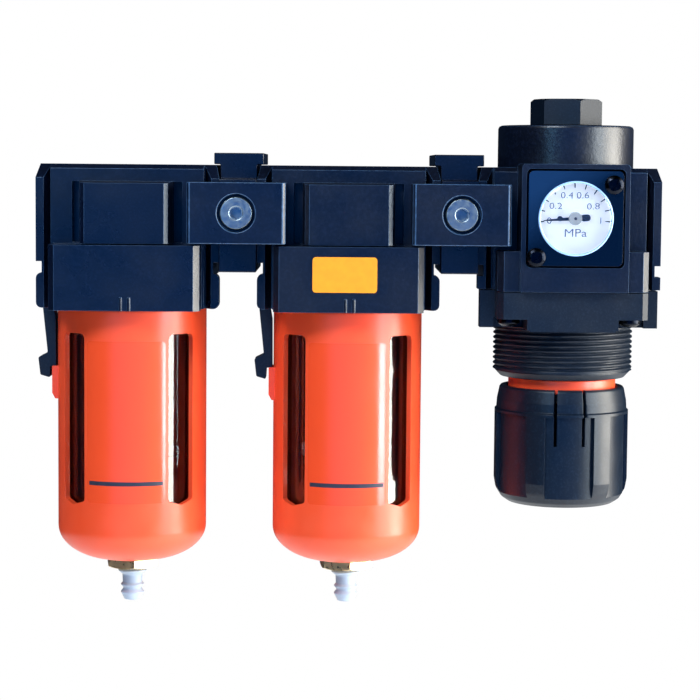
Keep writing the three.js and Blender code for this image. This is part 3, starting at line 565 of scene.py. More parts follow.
def studio():
    """A dark room, blue in front and white on the right, seen against white."""
    centre = (0.09, 0, -0.04)
    area_light("key", (0.88, -0.12, 0.05), centre, (0.4, 0.7), 16, (1, 0.96, 0.86))
    area_light("side", (0.8, -0.5, 0.08), centre, (0.16, 0.6), 6, (0.8, 0.92, 1))
    area_light("front", (-0.4, -1.0, 0.85), centre, (0.5, 0.4), 17, (0.8, 0.9, 1))
    area_light("low", (-0.2, -0.9, -1.0), centre, (0.9, 0.5), 11, (0.9, 0.94, 1))
    area_light("window", (-0.36, -0.9, 0.16), centre, (0.1, 0.2), 0.8, (0.2, 0.6, 1))

    world = bpy.data.worlds.new("room")
    world.use_nodes = True
    tree = world.node_tree
    nodes, links = tree.nodes, tree.links
    coord = nodes.new("ShaderNodeTexCoord")
    axes = nodes.new("ShaderNodeSeparateXYZ")
    links.new(coord.outputs["Generated"], axes.inputs["Vector"])
    across, up = axes.outputs["X"], axes.outputs["Z"]
    walls = graded(tree, across, -0.65, -0.3, (0.0, 0.0, 0.002), (0.0, 0.19, 0.8))
    walls = graded(tree, across, 0.3, 0.7, walls, (0.5, 0.6, 0.7))
    walls = graded(tree, axes.outputs["Y"], -0.1, 0.3, walls, (0.01, 0.02, 0.04))
    room = graded(tree, up, 0.2, 0.5, walls, (0.0, 0.0, 0.0))
    seen = nodes.new("ShaderNodeLightPath")
    view = graded(tree, seen.outputs["Is Camera Ray"], 0, 1, room, (1.0, 1.0, 1.0))
    links.new(view, nodes["Background"].inputs["Color"])
    bpy.context.scene.world = world


def floor():
    """A plain pale disc well below the hanging unit."""
    top, thickness, radius = -420, 5, 900
    obj = prism("floor", "z", circle(radius, (90, 150), 96), top - thickness, top)
    look = Look("floor", (0.93, 0.93, 0.93), 0.9)
    look.shader.inputs["Emission Color"].default_value = (1, 1, 1, 1)
    look.shader.inputs["Emission Strength"].default_value = 0.5
    obj.data.materials.append(look.material)


# ------------------------------------------------------------------ module bodies
HALF = 26.5  # half the port-to-port length of a module
PORT_PLATE_TOP = 13.6
PORT_PLATE_BOTTOM = -14.6
PORT_PLATE_DEPTH = 16  # from the middle to the front and back faces
PORT_R = 7.5
SHOULDER = 9.6  # where the port faces start to slope
PANEL_HALF = 22.1
BLOCK_HALF = 21.5
BLOCK_DEPTH = 28.2
SCREW_SPREAD = 17.5  # the bonnet screws' distance from the middle, across and in depth
BOSS_BOTTOM, BOSS_TOP = -9, 8.7


def chamfered_block(cx, z0, z1):
    """The square collar block with its four upright chamfers."""
    a, b, c = BLOCK_HALF, BLOCK_DEPTH, 1.7
    quarter = [(a, b - c), (a - c, b)]
    corners = [(cx + sx * x, sy * y) for sx, sy in ((1, 1), (-1, -1)) for x, y in quarter]
    mirrored = [(cx - sx * x, sy * y) for sx, sy in ((1, 1), (-1, -1)) for x, y in reversed(quarter)]
    return prism("block", "z", corners[:2] + mirrored[:2] + corners[2:] + mirrored[2:], z0, z1)


def sloping_plate(cx, half, depth, bottom, edge):
    """A plate along x whose long top edges are chamfered at 45 degrees."""
    flat = depth - (PORT_PLATE_TOP - edge)
    profile = [
        (-depth, bottom), (depth, bottom), (depth, edge),
        (flat, PORT_PLATE_TOP), (-flat, PORT_PLATE_TOP), (-depth, edge),
    ]
    return prism("plate", "x", profile, cx - half, cx + half)


def port_plate(cx, panel_bottom):
    """The plate between two port faces, with sloping ends and a raised middle panel."""
    outline = [
        (cx - HALF, PORT_PLATE_BOTTOM), (cx + HALF, PORT_PLATE_BOTTOM),
        (cx + HALF, SHOULDER), (cx + HALF - 1, PORT_PLATE_TOP),
        (cx - HALF + 1, PORT_PLATE_TOP), (cx - HALF, SHOULDER),
    ]
    depth = PORT_PLATE_DEPTH
    plate = prism("port_plate", "y", outline, -depth, depth)
    slopes = sloping_plate(cx, HALF + 1, depth, PORT_PLATE_BOTTOM, SHOULDER)
    combine(plate, [slopes], "INTERSECT")
    return fuse(plate, sloping_plate(cx, PANEL_HALF, depth + 0.3, panel_bottom, PORT_PLATE_TOP - 1.3))


def boss(cx, face):
    """A mounting pad with chamfered, spreading sides; face -1 is the front."""
    plan = [
        (-13.2, 10), (13.2, 10), (13.2, 21.7), (12.5, 26.0), (11.3, 26.7),
        (-11.3, 26.7), (-12.5, 26.0), (-13.2, 21.7),
    ]
    pad = prism("pad", "z", [(cx + x, face * y) for x, y in plan], BOSS_BOTTOM, BOSS_TOP)
    slope = [
        (9.9, BOSS_BOTTOM), (9.9, BOSS_TOP), (21.7, BOSS_TOP), (26.7, BOSS_TOP - 0.5), (26.7, BOSS_BOTTOM),
    ]
    wedge = prism("slope", "x", [(face * y, z) for y, z in slope], cx - 14, cx + 14)
    return combine(pad, [wedge], "INTERSECT")


def clamp_grooves(cx):
    """Cutters for the upright grooves behind the clamp ribs."""
    section = [(PANEL_HALF, 17), (PANEL_HALF, 12.6), (22.4, 12.6), (24.2, 16), (24.2, 17)]
    return [
        prism("groove", "z", [(cx + side * x, face * y) for x, y in section], -30, 15)
        for side in (-1, 1)
        for face in (-1, 1)
    ]


def boss_recesses(cx, face):
    """Cutters for the slots on both sides of a boss."""
    y0, y1 = sorted((face * 13, face * 17))
    spans = [sorted((cx + side * 13.2, cx + side * 15.9)) for side in (-1, 1)]
    return [block(x0, x1, y0, y1, BOSS_BOTTOM, BOSS_TOP - 0.1) for x0, x1 in spans]


def ports(cx):
    """Cutters for the inlet and outlet bores."""
    outer, inner = HALF + 1, HALF - 13
    return [rod("x", PORT_R, *ends) for ends in ((cx - outer, cx - inner), (cx + inner, cx + outer))]


def filter_casting(prefix, cx, paint):
    """A filter body rebuilt with crisp chamfers: port plate, collar block, bosses and wings."""
    body = port_plate(cx, -10.4)
    wing = [(cx + x, z) for x, z in soften(rectangle(HALF, 5.1, (0, -23)), 1.6)]
    fuse(
        body,
        block(cx - 24.8, cx + 24.8, -16, 16, -18.9, -13.6),
        prism("wing", "y", wing, -16, -10),
        chamfered_block(cx, -28.1, -9.4),
        boss(cx, -1),
        boss(cx, 1),
        *[lathe("rib", [(0, -28.1), (0.5, -28.1), (0.5, -24.3), (0, -24)], cx + dx, -28.05, 24)
          for dx in (-0.85, 1.55)],
    )
    carve(
        body,
        *clamp_grooves(cx),
        *boss_recesses(cx, -1),
        *boss_recesses(cx, 1),
        *ports(cx),
        rod("z", 20.3, -29.1, -19, (cx, 0), FINE),
        rod("z", 18.9, -20, -10, (cx, 0), FINE),
    )
    round_edges(body, 0.22, angle=24)
    place(body, prefix + "_casting", paint, "root", [prefix + "_body"], PAINTED_EDGE_HIGHLIGHT)


def filter_castings():
    """Both filter bodies, and the spacers' CAD bodies in the same paint."""
    filter_casting("filter", FILTER_X, SMOOTH_CASTING)
    filter_casting("mist", MIST_X, GRAINY_CASTING)
    for node in SPACER_X:
        round_edges(dress(node, SMOOTH_CASTING), 0.3)


def clamp_blocks():
    """Clamps with hooks behind, a recessed hole, and the socket screw that pulls them in."""
    half, tall, face, back, chamfer = 14, 8.7, 30.3, 16.6, 0.75
    for spacer, x in SPACER_X.items():
        for where in ("front", "rear"):
            plan = [
                (x - half, -back), (x - half, chamfer - face), (x + chamfer - half, -face),
                (x + half - chamfer, -face), (x + half, chamfer - face), (x + half, -back),
            ]
            body = prism("clamp", "z", plan, -tall, tall)
            hook = [(9.7, -17.6), (9.7, -13.1), (8.05, -16), (8.05, -17.6)]
            hooks = [
                prism("hook", "z", [(x + side * dx, y) for dx, y in hook], -7.7, 7.1) for side in (-1, 1)
            ]
            fuse(body, *hooks)
            carve(
                body,
                block(x - 5.9, x + 5.9, -20.3, -back + 1, -10, 10),
                rod("y", 2.7, -32, -15, (x, 0)),
                rod("y", 5.45, -face - 1, -face + 3.2, (x, 0)),
            )
            if where == "rear":
                mirror_back(body)
            round_edges(body, 0.25)
            name = f"{spacer}_{where}_clamp"
            paint = SMOOTH_CASTING if spacer == "spacer_1" else GRAINY_CASTING
            place(body, name + "_shell", paint, "root", [name], PAINTED_EDGE_HIGHLIGHT)
            socket_screw(f"{spacer}_{where}_screw", x, face, where)


def socket_screw(node, x, face, where):
    """A flat-headed socket screw: a low rim, a small hexagon socket and a plain shank."""
    top = -(face - 0.4)
    outline = [
        (0, 10.6), (2.4, 10.6), (2.4, -top - 2.4), (4.5, -top - 2.4, 0.2), (4.7, -top - 0.7, 0.2),
        (4.45, -top, 0.2), (2.1, -top), (1.9, -top - 0.12), (0, -top - 0.12),
    ]
    head = lathe("screw", soften(outline, 0.1), 0, 0, SMALL)
    carve(head, prism("hex", "z", polygon(6, 3, 30), -top - 2.0, -top + 1))
    turn(head, 90 if where == "front" else -90, axis="X")
    shift(head, x)
    place(smooth(head), node + "_turned", STEEL, "root", [node])


# ------------------------------------------------------------------ bowl assembly
GUARD_R = 22
GUARD_WALL = 1.7
GUARD_TOP = -28.4
GUARD_BOTTOM = -103.6
FOOT_R, FOOT_Z = 6.4, -93.6  # centre of the oval round at the foot of guard and bowl


def guard_shell(cx):
    """The orange guard: neck, shell with two sight windows, and the cheeks round the lever."""
    inner = GUARD_R - GUARD_WALL
    shell = lathe("guard", soften(
        [
            (18.7, -20.5, 0.2), (19.6, -20.5, 0.2), (19.6, GUARD_TOP - 0.02), (GUARD_R, GUARD_TOP, 0.5),
            *arc(FOOT_R, FOOT_Z, GUARD_R - FOOT_R, FOOT_Z - GUARD_BOTTOM, 0, -90),
            (6.2, GUARD_BOTTOM, 0.3), (6.2, GUARD_BOTTOM + GUARD_WALL, 0.3),
            *arc(FOOT_R, FOOT_Z, inner - FOOT_R, FOOT_Z - GUARD_BOTTOM - GUARD_WALL, -90, 0),
            (inner, -30.9, 0.5), (18.7, -30.9, 0.2),
        ], 0.2, 10), 0)
    half = GUARD_R * math.sin(math.radians(12.25))
    window = [
        (-half, -84.3, 1.0), (0, -85.6, 1.2), (half, -84.3, 1.0), (half, -35.4, 1.6), (-half, -35.4, 1.6),
    ]
    windows = [
        turn(prism("window", "y", soften(window, 1), -GUARD_R - 3, -12), side * 46) for side in (-1, 1)
    ]
    cheek = [(-23.3, -46), (-23.3, -54), (-22.4, -55.7), (-21.2, -55.7), (-21.2, -46)]
    cheeks = prism("cheeks", "y", soften(cheek, 0.3), -5, 5)
    fuse(shell, cheeks)
    carve(
        shell,
        *windows,
        block(-22.95, -22, -3.8, 3.8, -54.5, -45),
        block(-25, -22, -3.8, 3.8, -49.2, -45),
    )
    shift(shell, cx)
    return round_edges(shell, 0.3, 3, 40)


def curved_patch(name, r0, r1, half_angle, z0, z1, corner, cx, steps=40):
    """A thin patch on the guard's front: a rounded rectangle wrapped round the cylinder."""
    width = math.radians(half_angle) * r1
    outline = soften(rectangle(width, (z1 - z0) / 2, (0, (z0 + z1) / 2)), corner, 6)
    plate = prism(name, "y", outline, -1, 0)
    bm = bmesh.new()
    bm.from_mesh(plate.data)
    for i in range(-steps, steps + 1):
        cut = Vector((i * width / steps * 0.999 * MM, 0, 0))
        geometry = bm.verts[:] + bm.edges[:] + bm.faces[:]
        bmesh.ops.bisect_plane(bm, geom=geometry, plane_co=cut, plane_no=(1, 0, 0))
    for v in bm.verts:
        a = v.co.x / MM / r1
        r = r1 if v.co.y < -0.0005 else r0
        v.co = Vector((cx + r * math.sin(a), -r * math.cos(a), v.co.z / MM)) * MM
    bmesh.ops.recalc_face_normals(bm, faces=bm.faces)
    bm.to_mesh(plate.data)
    bm.free()
    return smooth(plate, math.radians(40))


def clear_bowl(cx):
    """The clear bowl: seal groove, wall and drain spigot."""
    outline = [
        (15.6, -11.2, 0.4), (18.3, -11.2, 0.4), (18.3, -13.6, 0.2), (16.9, -13.6, 0.2), (16.9, -16.4, 0.2),
        (18.3, -16.4, 0.2), (18.3, -31.2, 0.6), (19.6, -32.5, 0.8),
        *arc(FOOT_R, FOOT_Z, 19.6 - FOOT_R, 7.6, 0, -90),
        (5.6, -101.2, 0.3), (5.6, -104, 0.2), (4.2, -104, 0.2), (4.2, -98.2, 0.5),
        *arc(FOOT_R, FOOT_Z, 16.6 - FOOT_R, 4.6, -90, 0),
        (16.6, -33.5, 1), (15.6, -31.5, 1),
    ]
    return smooth(lathe("bowl", soften(outline, 0.3, 8), cx))


def lever(cx):
    """The black thumb lever: a slim arm, a smooth pad and the tongue in the guard's pocket."""
    side = [
        (-26.2, -28.6, 0.3), (-23, -28.6, 0.3), (-22.4, -32, 0.5), (-22.3, -51.4, 0.1), (-22.9, -51.4, 0.1),
        (-22.9, -46.2, 0.2), (-24, -46.2, 0.2), (-24.2, -49.6, 0.3), (-27, -48.8, 0.6),
        (-27.6, -43.6, 0.7), (-24.8, -42.2, 0.8),
    ]
    made = prism("lever", "y", [(x + cx, z) for x, z in soften(side, 0.2)], -3.4, 3.4)
    return round_edges(made, 0.25, 2)


def drain_cock(cx):
    """The nylon cock: stem in the bowl, cone under the nut and a barbed hose tail."""
    outline = [
        (1.2, -99, 0.1), (3.4, -99, 0.3), (3.4, -107.2, 0.2), (4.6, -107.5, 0.3), (3, -108.8, 0.6),
        (2.9, -111.3, 0.4), (3.55, -112, 0.35), (2.75, -112.9, 0.3), (2.75, -113.3, 0.3),
        (3.5, -114.2, 0.35), (2.4, -116.5, 0.3), (1.2, -116.5, 0.2),
    ]
    return smooth(lathe("cock", soften(outline, 0.2), cx, 0, SMALL))


def drain_nut(cx):
    """The brass nut under the guard, its lower corners turned off."""
    hexagon = prism("nut", "z", polygon(6, 14.4, 39, (cx, 0)), -106.4, -103.8)
    cone = [(0, -106.4), (7.2, -106.4), (8.4, -105.7), (8.4, -103), (0, -103)]
    crown = lathe("crown", cone, cx, 0, SMALL)
    combine(hexagon, [crown], "INTERSECT")
    carve(hexagon, rod("z", 3.9, -108, -104, (cx, 0)))
    return round_edges(hexagon, 0.12, 2)


def bowl_assembly(prefix, cx):
    """One module's bowl with guard, film, level line, lever and drain."""
    body = prefix + "_bowl_set"
    place(guard_shell(cx), prefix + "_guard_shell", ORANGE, body, [prefix + "_bowl_guard"])
    film = curved_patch("film", GUARD_R + 0.01, GUARD_R + 0.06, 31, -84.5, -37.4, 1.2, cx)
    place(film, prefix + "_label_film", FILM, body)
    level = curved_patch("level", GUARD_R + 0.05, GUARD_R + 0.09, 29, -79.3, -78.1, 0.1, cx)
    place(level, prefix + "_level_line", INK, body)
    place(clear_bowl(cx), prefix + "_clear_bowl", CLEAR, body, [prefix + "_bowl"])
    place(drain_nut(cx), prefix + "_hex_nut", BRASS, body, [prefix + "_drain_nut"])
    place(lever(cx), prefix + "_thumb_lever", PLASTIC, prefix + "_lever",
          [prefix + "_lock_lever"])
    place(drain_cock(cx), prefix + "_barbed_cock", NYLON, prefix + "_drain",
          [prefix + "_drain_cock"])
    smooth_cad(prefix + "_bowl_seal", RUBBER)


def smooth_cad(node, material):
    """A CAD node kept as it is, with its round faces shaded smooth."""
    obj = dress(node, material)
    obj.data.polygons.foreach_set("use_smooth", [True] * len(obj.data.polygons))
    weld = obj.modifiers.new("weld", "WELD")
    weld.merge_threshold = 0.00001
    obj.modifiers.new("normals", "WEIGHTED_NORMAL")
    return obj


# ------------------------------------------------------------------ filter internals
def internals():
    """Parts seen through the bowls or when they are off."""
    for node in ("filter_deflector", "filter_baffle", "mist_element_holder"):
        smooth_cad(node, PLASTIC)
    for node in ("filter_element", "mist_element"):
        smooth_cad(node, MEDIA)
    for spacer in SPACER_X:
        for side in ("inlet", "outlet"):
            smooth_cad(f"{spacer}_{side}_seal", RUBBER)


# ------------------------------------------------------------------ regulator
def regulator_casting():
    """The regulator body rebuilt with true rounds: cap boss, gauge box, ribs and ports."""
    cx = REGULATOR_X
    body = port_plate(cx, -12)
    fuse(
        body,
        block(cx - 24.8, cx + 24.8, -16, 16, -19.6, -13.6),
        block(cx - HALF, cx + HALF, -16, -10, -21.6, -17.9),
        chamfered_block(cx, -21.6, -10.2),
        prism("gauge_box", "y", soften(rectangle(15.3, 15.3, (cx, GAUGE_Z)), 1), -31, -10),
        block(cx - 15.3, cx + 15.3, -31, -20, -21.6, -10),
        boss(cx, 1),
        lathe("cap", [(0, 0), (19.99, 0), (19.95, 24.9), (19.6, 25.6), (18.9, 25.9), (0, 25.9)], cx),
    )
    recess = soften(rectangle(14, 14, (cx, GAUGE_Z)), 1.5)
    spots = [(cx + sx * SCREW_SPREAD, sy * SCREW_SPREAD) for sx in (-1, 1) for sy in (-1, 1)]
    holes = [rod("z", 2.2, -22.6, -13.5, spot) for spot in spots]
    carve(
        body,
        *clamp_grooves(cx),
        *boss_recesses(cx, 1),
        *ports(cx),
        *holes,
        prism("recess", "y", recess, -32, -21),
        rod("z", 8.9, 3, 27, (cx, 0)),
        rod("z", 16.5, -22.6, -13.6, (cx, 0)),
    )
    round_edges(body, 0.3)
    place(body, "regulator_casting", GRAINY_CASTING, "root", ["regulator_body"], PAINTED_EDGE_HIGHLIGHT)


def hexagon_plug():
    """The plug on top: a chamfered hexagon over a round shank."""
    cx = REGULATOR_X
    plug = prism("plug", "z", polygon(6, 18.4, -13, (cx, 0)), 26.2, 33.7)
    crown = lathe("crown", [(0, 20), (11, 20), (11, 32.7), (9.5, 33.7), (0, 33.7)], cx)
    combine(plug, [crown], "INTERSECT")
    fuse(plug, rod("z", 8.6, 12.2, 26.4, (cx, 0)))
    round_edges(plug, 0.3)
    place(plug, "hexagon_plug", PLASTIC, "root", ["valve_plug"])


THREAD_PITCH = 1.5


def thread_surface(cx, r, depth, z_top, z_bottom, sides=FINE):
    """A sleeve whose outside carries a right-hand thread that runs out at both ends."""
    rows_per_pitch = 8
    rows = int((z_top - z_bottom) / THREAD_PITCH * rows_per_pitch)
    verts, faces = [], []
    for i in range(rows + 1):
        z = z_top + (z_bottom - z_top) * i / rows
        fade = min(1, (z_top - z) / 0.8, (z - z_bottom) / 0.8)
        for s in range(sides):
            a = 2 * math.pi * s / sides
            phase = (z / THREAD_PITCH - s / sides) % 1.0
            tooth = min(1, max(0, abs(phase - 0.5) * 3.2 - 0.25))
            radius = r - depth * (1 - tooth) * max(0, fade)
            verts.append((cx + radius * math.cos(a), radius * math.sin(a), z))
    inner = r - 3
    for z in (z_bottom, z_top):
        for s in range(sides):
            a = 2 * math.pi * s / sides
            verts.append((cx + inner * math.cos(a), inner * math.sin(a), z))
    for i in range(rows + 2):
        for s in range(sides):
            t = (s + 1) % sides
            faces.append((i * sides + s, i * sides + t, (i + 1) * sides + t, (i + 1) * sides + s))
    last = (rows + 2) * sides
    for s in range(sides):
        t = (s + 1) % sides
        faces.append((last + s, last + t, t, s))
    return smooth(mesh_object("thread", verts, faces), math.radians(50))


def bonnet_parts():
    """The bonnet's square flange, its panel thread and the nose below."""
    cx = REGULATOR_X
    bottom, top = -32.7, -21.9
    flange = block(cx - 25.8, cx + 25.8, -16, -10, bottom, top)
    fuse(
        flange,
        chamfered_block(cx, bottom, top),
        prism("tab", "z", rectangle(12.3, 28.2, (cx, 0)), -33.1, -31),
    )
    corners = []
    for sx in (-1, 1):
        for sy in (-1, 1):
            x0, x1 = sorted((cx + sx * 13, cx + sx * 21.8))
            y0, y1 = sorted((sy * 13, sy * 30))
            corners.append(block(x0, x1, y0, y1, -34, -29.6))
    carve(flange, *corners, rod("z", 15, -35, -20, (cx, 0), FINE))
    round_edges(flange, 0.3)
    place(flange, "bonnet_flange", PLASTIC, "root", ["bonnet"])

    thread = thread_surface(cx, 20.6, 0.7, -32.8, -45.9)
    place(thread, "bonnet_thread", PLASTIC, "root")

    nose = [
        (17.9, -45.8), (20.0, -45.8), (20.0, -46.3, 0.2), (18.4, -48, 0.3), (13.5, -48), (13.5, -55, 0.3),
        (5.3, -55), (5.3, -44.9), (15, -44.9), (15, -32.4), (17.9, -32.4),
    ]
    made = smooth(lathe("nose", soften(nose, 0, 3), cx))
    place(made, "bonnet_nose", PLASTIC, "root")


def pan_screw(head_r, head_height, shank_r, shank, cross):
    """A cross-recess pan-head screw along +z with its seat at zero, ready to be put in place."""
    outline = [
        (0, -head_height), (head_r * 0.62, -head_height, 0.6), (head_r * 0.98, -head_height * 0.62, 0.6),
        (head_r, 0, 0.05), (shank_r, 0), (shank_r, shank, 0.2), (0, shank),
    ]
    made = lathe("screw", soften(outline, 0.1), 0, 0, SMALL)
    arm, wide, deep = cross, cross * 0.26, head_height * 0.75
    plus = block(-arm, arm, -wide, wide, -head_height - 1, -head_height + deep)
    other = block(-wide, wide, -arm, arm, -head_height - 1, -head_height + deep)
    heart = rod("z", wide * 1.9, -head_height - 1, -head_height + deep * 1.15, (0, 0), 16)
    fuse(plus, other, heart)
    carve(made, plus)
    return smooth(made)


def bonnet_screws():
    """Four pan-head screws that hold the bonnet from below."""
    spots = [(-1, -1), (1, -1), (1, 1), (-1, 1)]
    for i, (sx, sy) in enumerate(spots):
        node = f"bonnet_screw_{i + 1}"
        made = pan_screw(3.25, 2.2, 1.9, 15.5, 1.9)
        turn(made, 20 + 47 * i)
        shift(made, REGULATOR_X + sx * SCREW_SPREAD, sy * SCREW_SPREAD, -29.9)
        place(made, node + "_pan", BLACK_STEEL, "root", [node])


def lock_ring():
    """The orange ring that shows while the knob is pulled out."""
    outline = soften([(13.8, -52.2), (15.9, -52.2), (15.9, -48.3), (13.8, -48.3)], 0.25)
    made = smooth(lathe("ring", outline, REGULATOR_X))
    place(made, "orange_ring", ORANGE, "root", ["lock_ring"])


def sector(r_in, r_out, centre, span, steps=10):
    """A ring sector in (x, y), its angle measured from the front."""
    angles = [math.radians(centre - span / 2 + span * i / steps) for i in range(steps + 1)]
    outer = [(r_out * math.sin(a), -r_out * math.cos(a)) for a in angles]
    inner = [(r_in * math.sin(a), -r_in * math.cos(a)) for a in reversed(angles)]
    return outer + inner


def knob_shell():
    """The pull-out knob: a waisted rim, six grip recesses and the two slots of its snap tab."""
    outline = [
        (0, -85.6), (15.6, -85.6, 1.0), (17.6, -84.3, 2), (19.3, -81.6, 3),
        (19.85, -78.5, 2), (19.85, -57.9, 0.15), (19.35, -57.5, 0.2), (19.2, -55, 2), (18.5, -51.5, 0.8),
        (18.1, -50.9, 0.3), (16.4, -50.9, 0.2), (16.4, -80, 1), (7.5, -82, 1), (7.5, -58.2, 0.3),
        (0, -58.2),
    ]
    cup = lathe("knob", soften(outline, 0.2, 6))
    twist = 2
    grips = [prism("grip", "z", sector(18.6, 22, 60 * i + twist, 43), -84.6, -58.7) for i in range(6)]
    slots = [
        prism("slot", "z", sector(15.8, 22, side * 12.8 + twist, 3, 2), -67.3, -50) for side in (-1, 1)
    ]
    socket = prism("socket", "z", polygon(6, 8.5), -76, -57)
    carve(cup, *grips, *slots, socket)
    shift(cup, REGULATOR_X)
    round_edges(cup, 0.22, 3, 28)
    place(cup, "knob_shell", KNOB_PLASTIC, "knob", ["knob"])


def coil(radius, wire, bottom, top, turns, steps=24, sides=8):
    """A round-wire spring on the regulator's axis, its wire cut square at both ends."""
    count = round(turns * steps)
    verts = []
    for i in range(count + 1):
        a = 2 * math.pi * i / steps
        middle = bottom + wire + (top - bottom - 2 * wire) * i / count
        for b in (2 * math.pi * k / sides for k in range(sides)):
            r = radius + wire * math.cos(b)
            verts.append((REGULATOR_X + r * math.cos(a), r * math.sin(a), middle + wire * math.sin(b)))
    faces = [tuple(range(sides)), tuple(range(count * sides, (count + 1) * sides))]
    for i in range(count):
        here, there = i * sides, (i + 1) * sides
        for k in range(sides):
            j = (k + 1) % sides
            faces.append((here + k, here + j, there + j, there + k))
    return smooth(mesh_object("coil", verts, faces))


def springs():
    """Both springs ride on the part that lifts them."""
    foot, head = -39.6, -25.3
    spring = coil(10, 1.1, foot, head, 3.5)
    place(spring, "pressure_coil", STEEL, "spring_seat", ["pressure_spring"])
    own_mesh(spring)

    foot, head = 5.9, 12
    spring = coil(4.2, 0.45, foot, head, 4)
    place(spring, "valve_coil", STEEL, "valve", ["valve_spring"])
    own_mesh(spring)


def regulator_internals():
    """The regulator's hidden working parts."""
    for node in ("diaphragm", "valve_plug_seal"):
        smooth_cad(node, RUBBER)
    for node in ("diaphragm_plate", "spring_seat", "adjusting_screw"):
        smooth_cad(node, STEEL)
    smooth_cad("valve", BRASS)
    springs()


# ------------------------------------------------------------------ gauge
def gauge_point(angle, radius):
    """A point on the dial, its angle counted from the right, anticlockwise."""
    a = math.radians(angle)
    return REGULATOR_X + radius * math.cos(a), GAUGE_Z + radius * math.sin(a)


def dial_text(word, height, x, z, y, widen=1.2):
    """Upright lettering on the dial, as a thin mesh."""
    data = bpy.data.curves.new("text", "FONT")
    data.body = word
    data.size = height * MM
    data.align_x, data.align_y = "CENTER", "CENTER"
    data.extrude = 0.00001
    obj = bpy.data.objects.new("text", data)
    bpy.context.scene.collection.objects.link(obj)
    obj.rotation_euler = Euler((math.pi / 2, 0, 0))
    obj.location = Vector((x, y, z)) * MM
    obj.scale.x = widen
    bpy.context.view_layer.update()
    mesh = bpy.data.meshes.new_from_object(obj.evaluated_get(bpy.context.evaluated_depsgraph_get()))
    mesh.transform(obj.matrix_world)
    bpy.data.objects.remove(obj)
    made = bpy.data.objects.new("text", mesh)
    bpy.context.scene.collection.objects.link(made)
    return made


def gauge_dial():
    """White dial with eleven scale marks, generic numerals and the unit of pressure."""
    face = -28.0
    disc = rod("y", 11, face, face + 0.7, (REGULATOR_X, GAUGE_Z), FINE)
    carve(disc, rod("y", 0.9, face - 1, face + 2, (REGULATOR_X, GAUGE_Z), 32))
    place(smooth(disc), "dial_disc", DIAL, "root", ["gauge_dial"])
    zero, full = 186, -5
    marks = []
    for i in range(11):
        mark = block(8.5, 10.0, face - 0.03, face + 0.01, -0.17, 0.17)
        turn(mark, (full - zero) * (10 - i) / 10 - full, axis="Y")
        marks.append(shift(mark, REGULATOR_X, 0, GAUGE_Z))
    place(join("dial_marks", marks), "dial_marks", INK, "root")
    numerals = [("0", 7.1), ("0.2", 6.3), ("0.4", 6.7), ("0.6", 6.7), ("0.8", 6.1), ("1", 7.2)]
    words = []
    for i, (word, radius) in enumerate(numerals):
        x, z = gauge_point(zero + (full - zero) * i / 5, radius)
        words.append(dial_text(word, 2.5, x, z, face - 0.02))
    words.append(dial_text("MPa", 3.2, REGULATOR_X + 0.2, GAUGE_Z - 4.2, face - 0.02))
    place(join("dial_numerals", words), "dial_numerals", NUMERALS, "root")


def gauge_cover():
    """The square cover with its round window, and the two screws that hold it."""
    cx = REGULATOR_X
    plate = prism("cover", "y", soften(rectangle(13.4, 13.4, (cx, GAUGE_Z)), 1.5, 8), -31.5, -27.3)
    spots = [(10.6, 9.6), (-11.1, -11)]
    holes = [rod("y", 1.7, -33, -26, (cx + dx, GAUGE_Z + dz)) for dx, dz in spots]
    carve(
        plate,
        rod("y", 10.6, -33, -29, (cx, GAUGE_Z), FINE),
        rod("y", 11.3, -29.1, -26, (cx, GAUGE_Z), FINE),
        *holes,
    )
    round_edges(plate, 0.3)
    place(plate, "cover_plate", GLOSS, "root", ["gauge_cover"])

    for i, (dx, dz) in enumerate(spots):
        node = f"gauge_screw_{i + 1}"
        made = pan_screw(2.7, 1.4, 1.35, 14.4, 1.8)
        turn(made, 25 + 20 * i)
        turn(made, -90, axis="X")
        shift(made, cx + dx, -31.8, GAUGE_Z + dz)
        place(made, node + "_pan", BLACK_STEEL, "root", [node])


def gauge_lens():
    """The domed lens, and round it a pale blue glowing rim that is a painted highlight."""
    outline = [(0, 0), (10.3, 0), (10.3, 1.0, 0.2), (9.6, 1.3, 0.4), (6, 1.6, 3), (0, 1.7)]
    made = lathe("lens", soften(outline, 0.1, 6))
    turn(made, 90, axis="X")
    shift(made, REGULATOR_X, -30.4, GAUGE_Z)
    place(smooth(made), "domed_lens", LENS, "root", ["gauge_lens"])
    # Painted highlight: a glowing pale blue ring at the lens's edge.
    highlight_rim = lathe("highlight_rim", soften([(10.0, 0.9), (10.6, 0.9), (10.6, 1.4), (10.25, 1.6), (10.0, 1.4)], 0.1))
    turn(highlight_rim, 90, axis="X")
    shift(highlight_rim, REGULATOR_X, -30.2, GAUGE_Z)
    place(smooth(highlight_rim), "lens_rim_painted_highlight", RIM_PAINTED_HIGHLIGHT, "root")


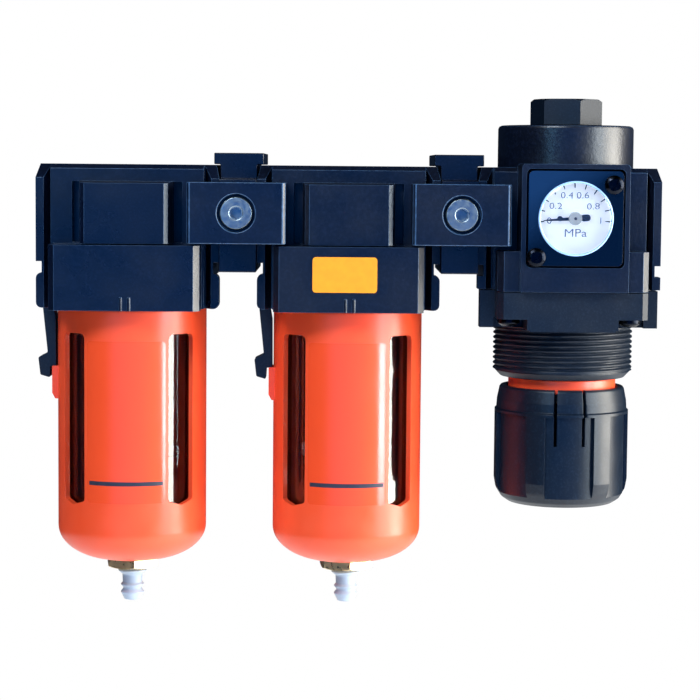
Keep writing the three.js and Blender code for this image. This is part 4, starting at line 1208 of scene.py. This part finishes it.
def pointer():
    """The pointer at its zero mark: tapered hand, drop-shaped tail, hub and arbor."""
    hand = [
        (-8.8, -0.12), (-4, -0.42), (1.6, -0.6), (2.4, -1.0, 0.3), (4.4, -0.95, 0.9),
        (4.4, 0.95, 0.9), (2.4, 1.0, 0.3), (1.6, 0.6), (-4, 0.42), (-8.8, 0.12),
    ]
    made = prism("hand", "y", soften(hand, 0), -29.05, -28.75)
    bead = prism("bead", "y", circle(0.75, (-4.3, 0.25), 24), -29.1, -28.7)
    arbor = rod("y", 0.6, -28.8, -24.8, (0, 0), 24)
    hub = rod("y", 1.95, -29.9, -28.7, (0, 0))
    pin = rod("y", 0.45, -30.1, -29.8, (0, 0), 24)
    for piece in (made, bead, arbor, hub, pin):
        turn(piece, -4, axis="Y")
        shift(piece, REGULATOR_X, 0, GAUGE_Z)
    fuse(made, bead, arbor)
    place(smooth(made), "pointer_hand", INK, "gauge_pointer", ["gauge_pointer"])
    place(round_edges(hub, 0.25), "pointer_hub", HUB, "gauge_pointer")
    place(smooth(pin), "pointer_pin", INK, "gauge_pointer")


def rating_plate():
    """The blank foil plate: an orange field."""
    low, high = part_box("rating_plate")
    cx, cz = (low.x + high.x) / 2 / MM, (low.z + high.z) / 2 / MM
    front = low.y / MM
    plate = prism("plate", "y", soften(rectangle(9.2, 5.05, (cx, cz)), 1, 8), front, front + 0.25)
    place(smooth(plate), "foil_plate", PLATE, "root", ["rating_plate"])


def gauge():
    """The whole gauge, with case and Bourdon tube as in CAD."""
    gauge_dial()
    gauge_cover()
    gauge_lens()
    pointer()
    smooth_cad("gauge_case", PLASTIC)
    smooth_cad("bourdon_tube", BRASS)


# ------------------------------------------------------------------ the whole unit
camera()
studio()
floor()
filter_castings()
clamp_blocks()
bowl_assembly("filter", FILTER_X)
bowl_assembly("mist", MIST_X)
internals()
regulator_casting()
hexagon_plug()
bonnet_parts()
bonnet_screws()
lock_ring()
knob_shell()
regulator_internals()
gauge()
rating_plate()
bpy.context.scene.view_settings.view_transform = "Standard"
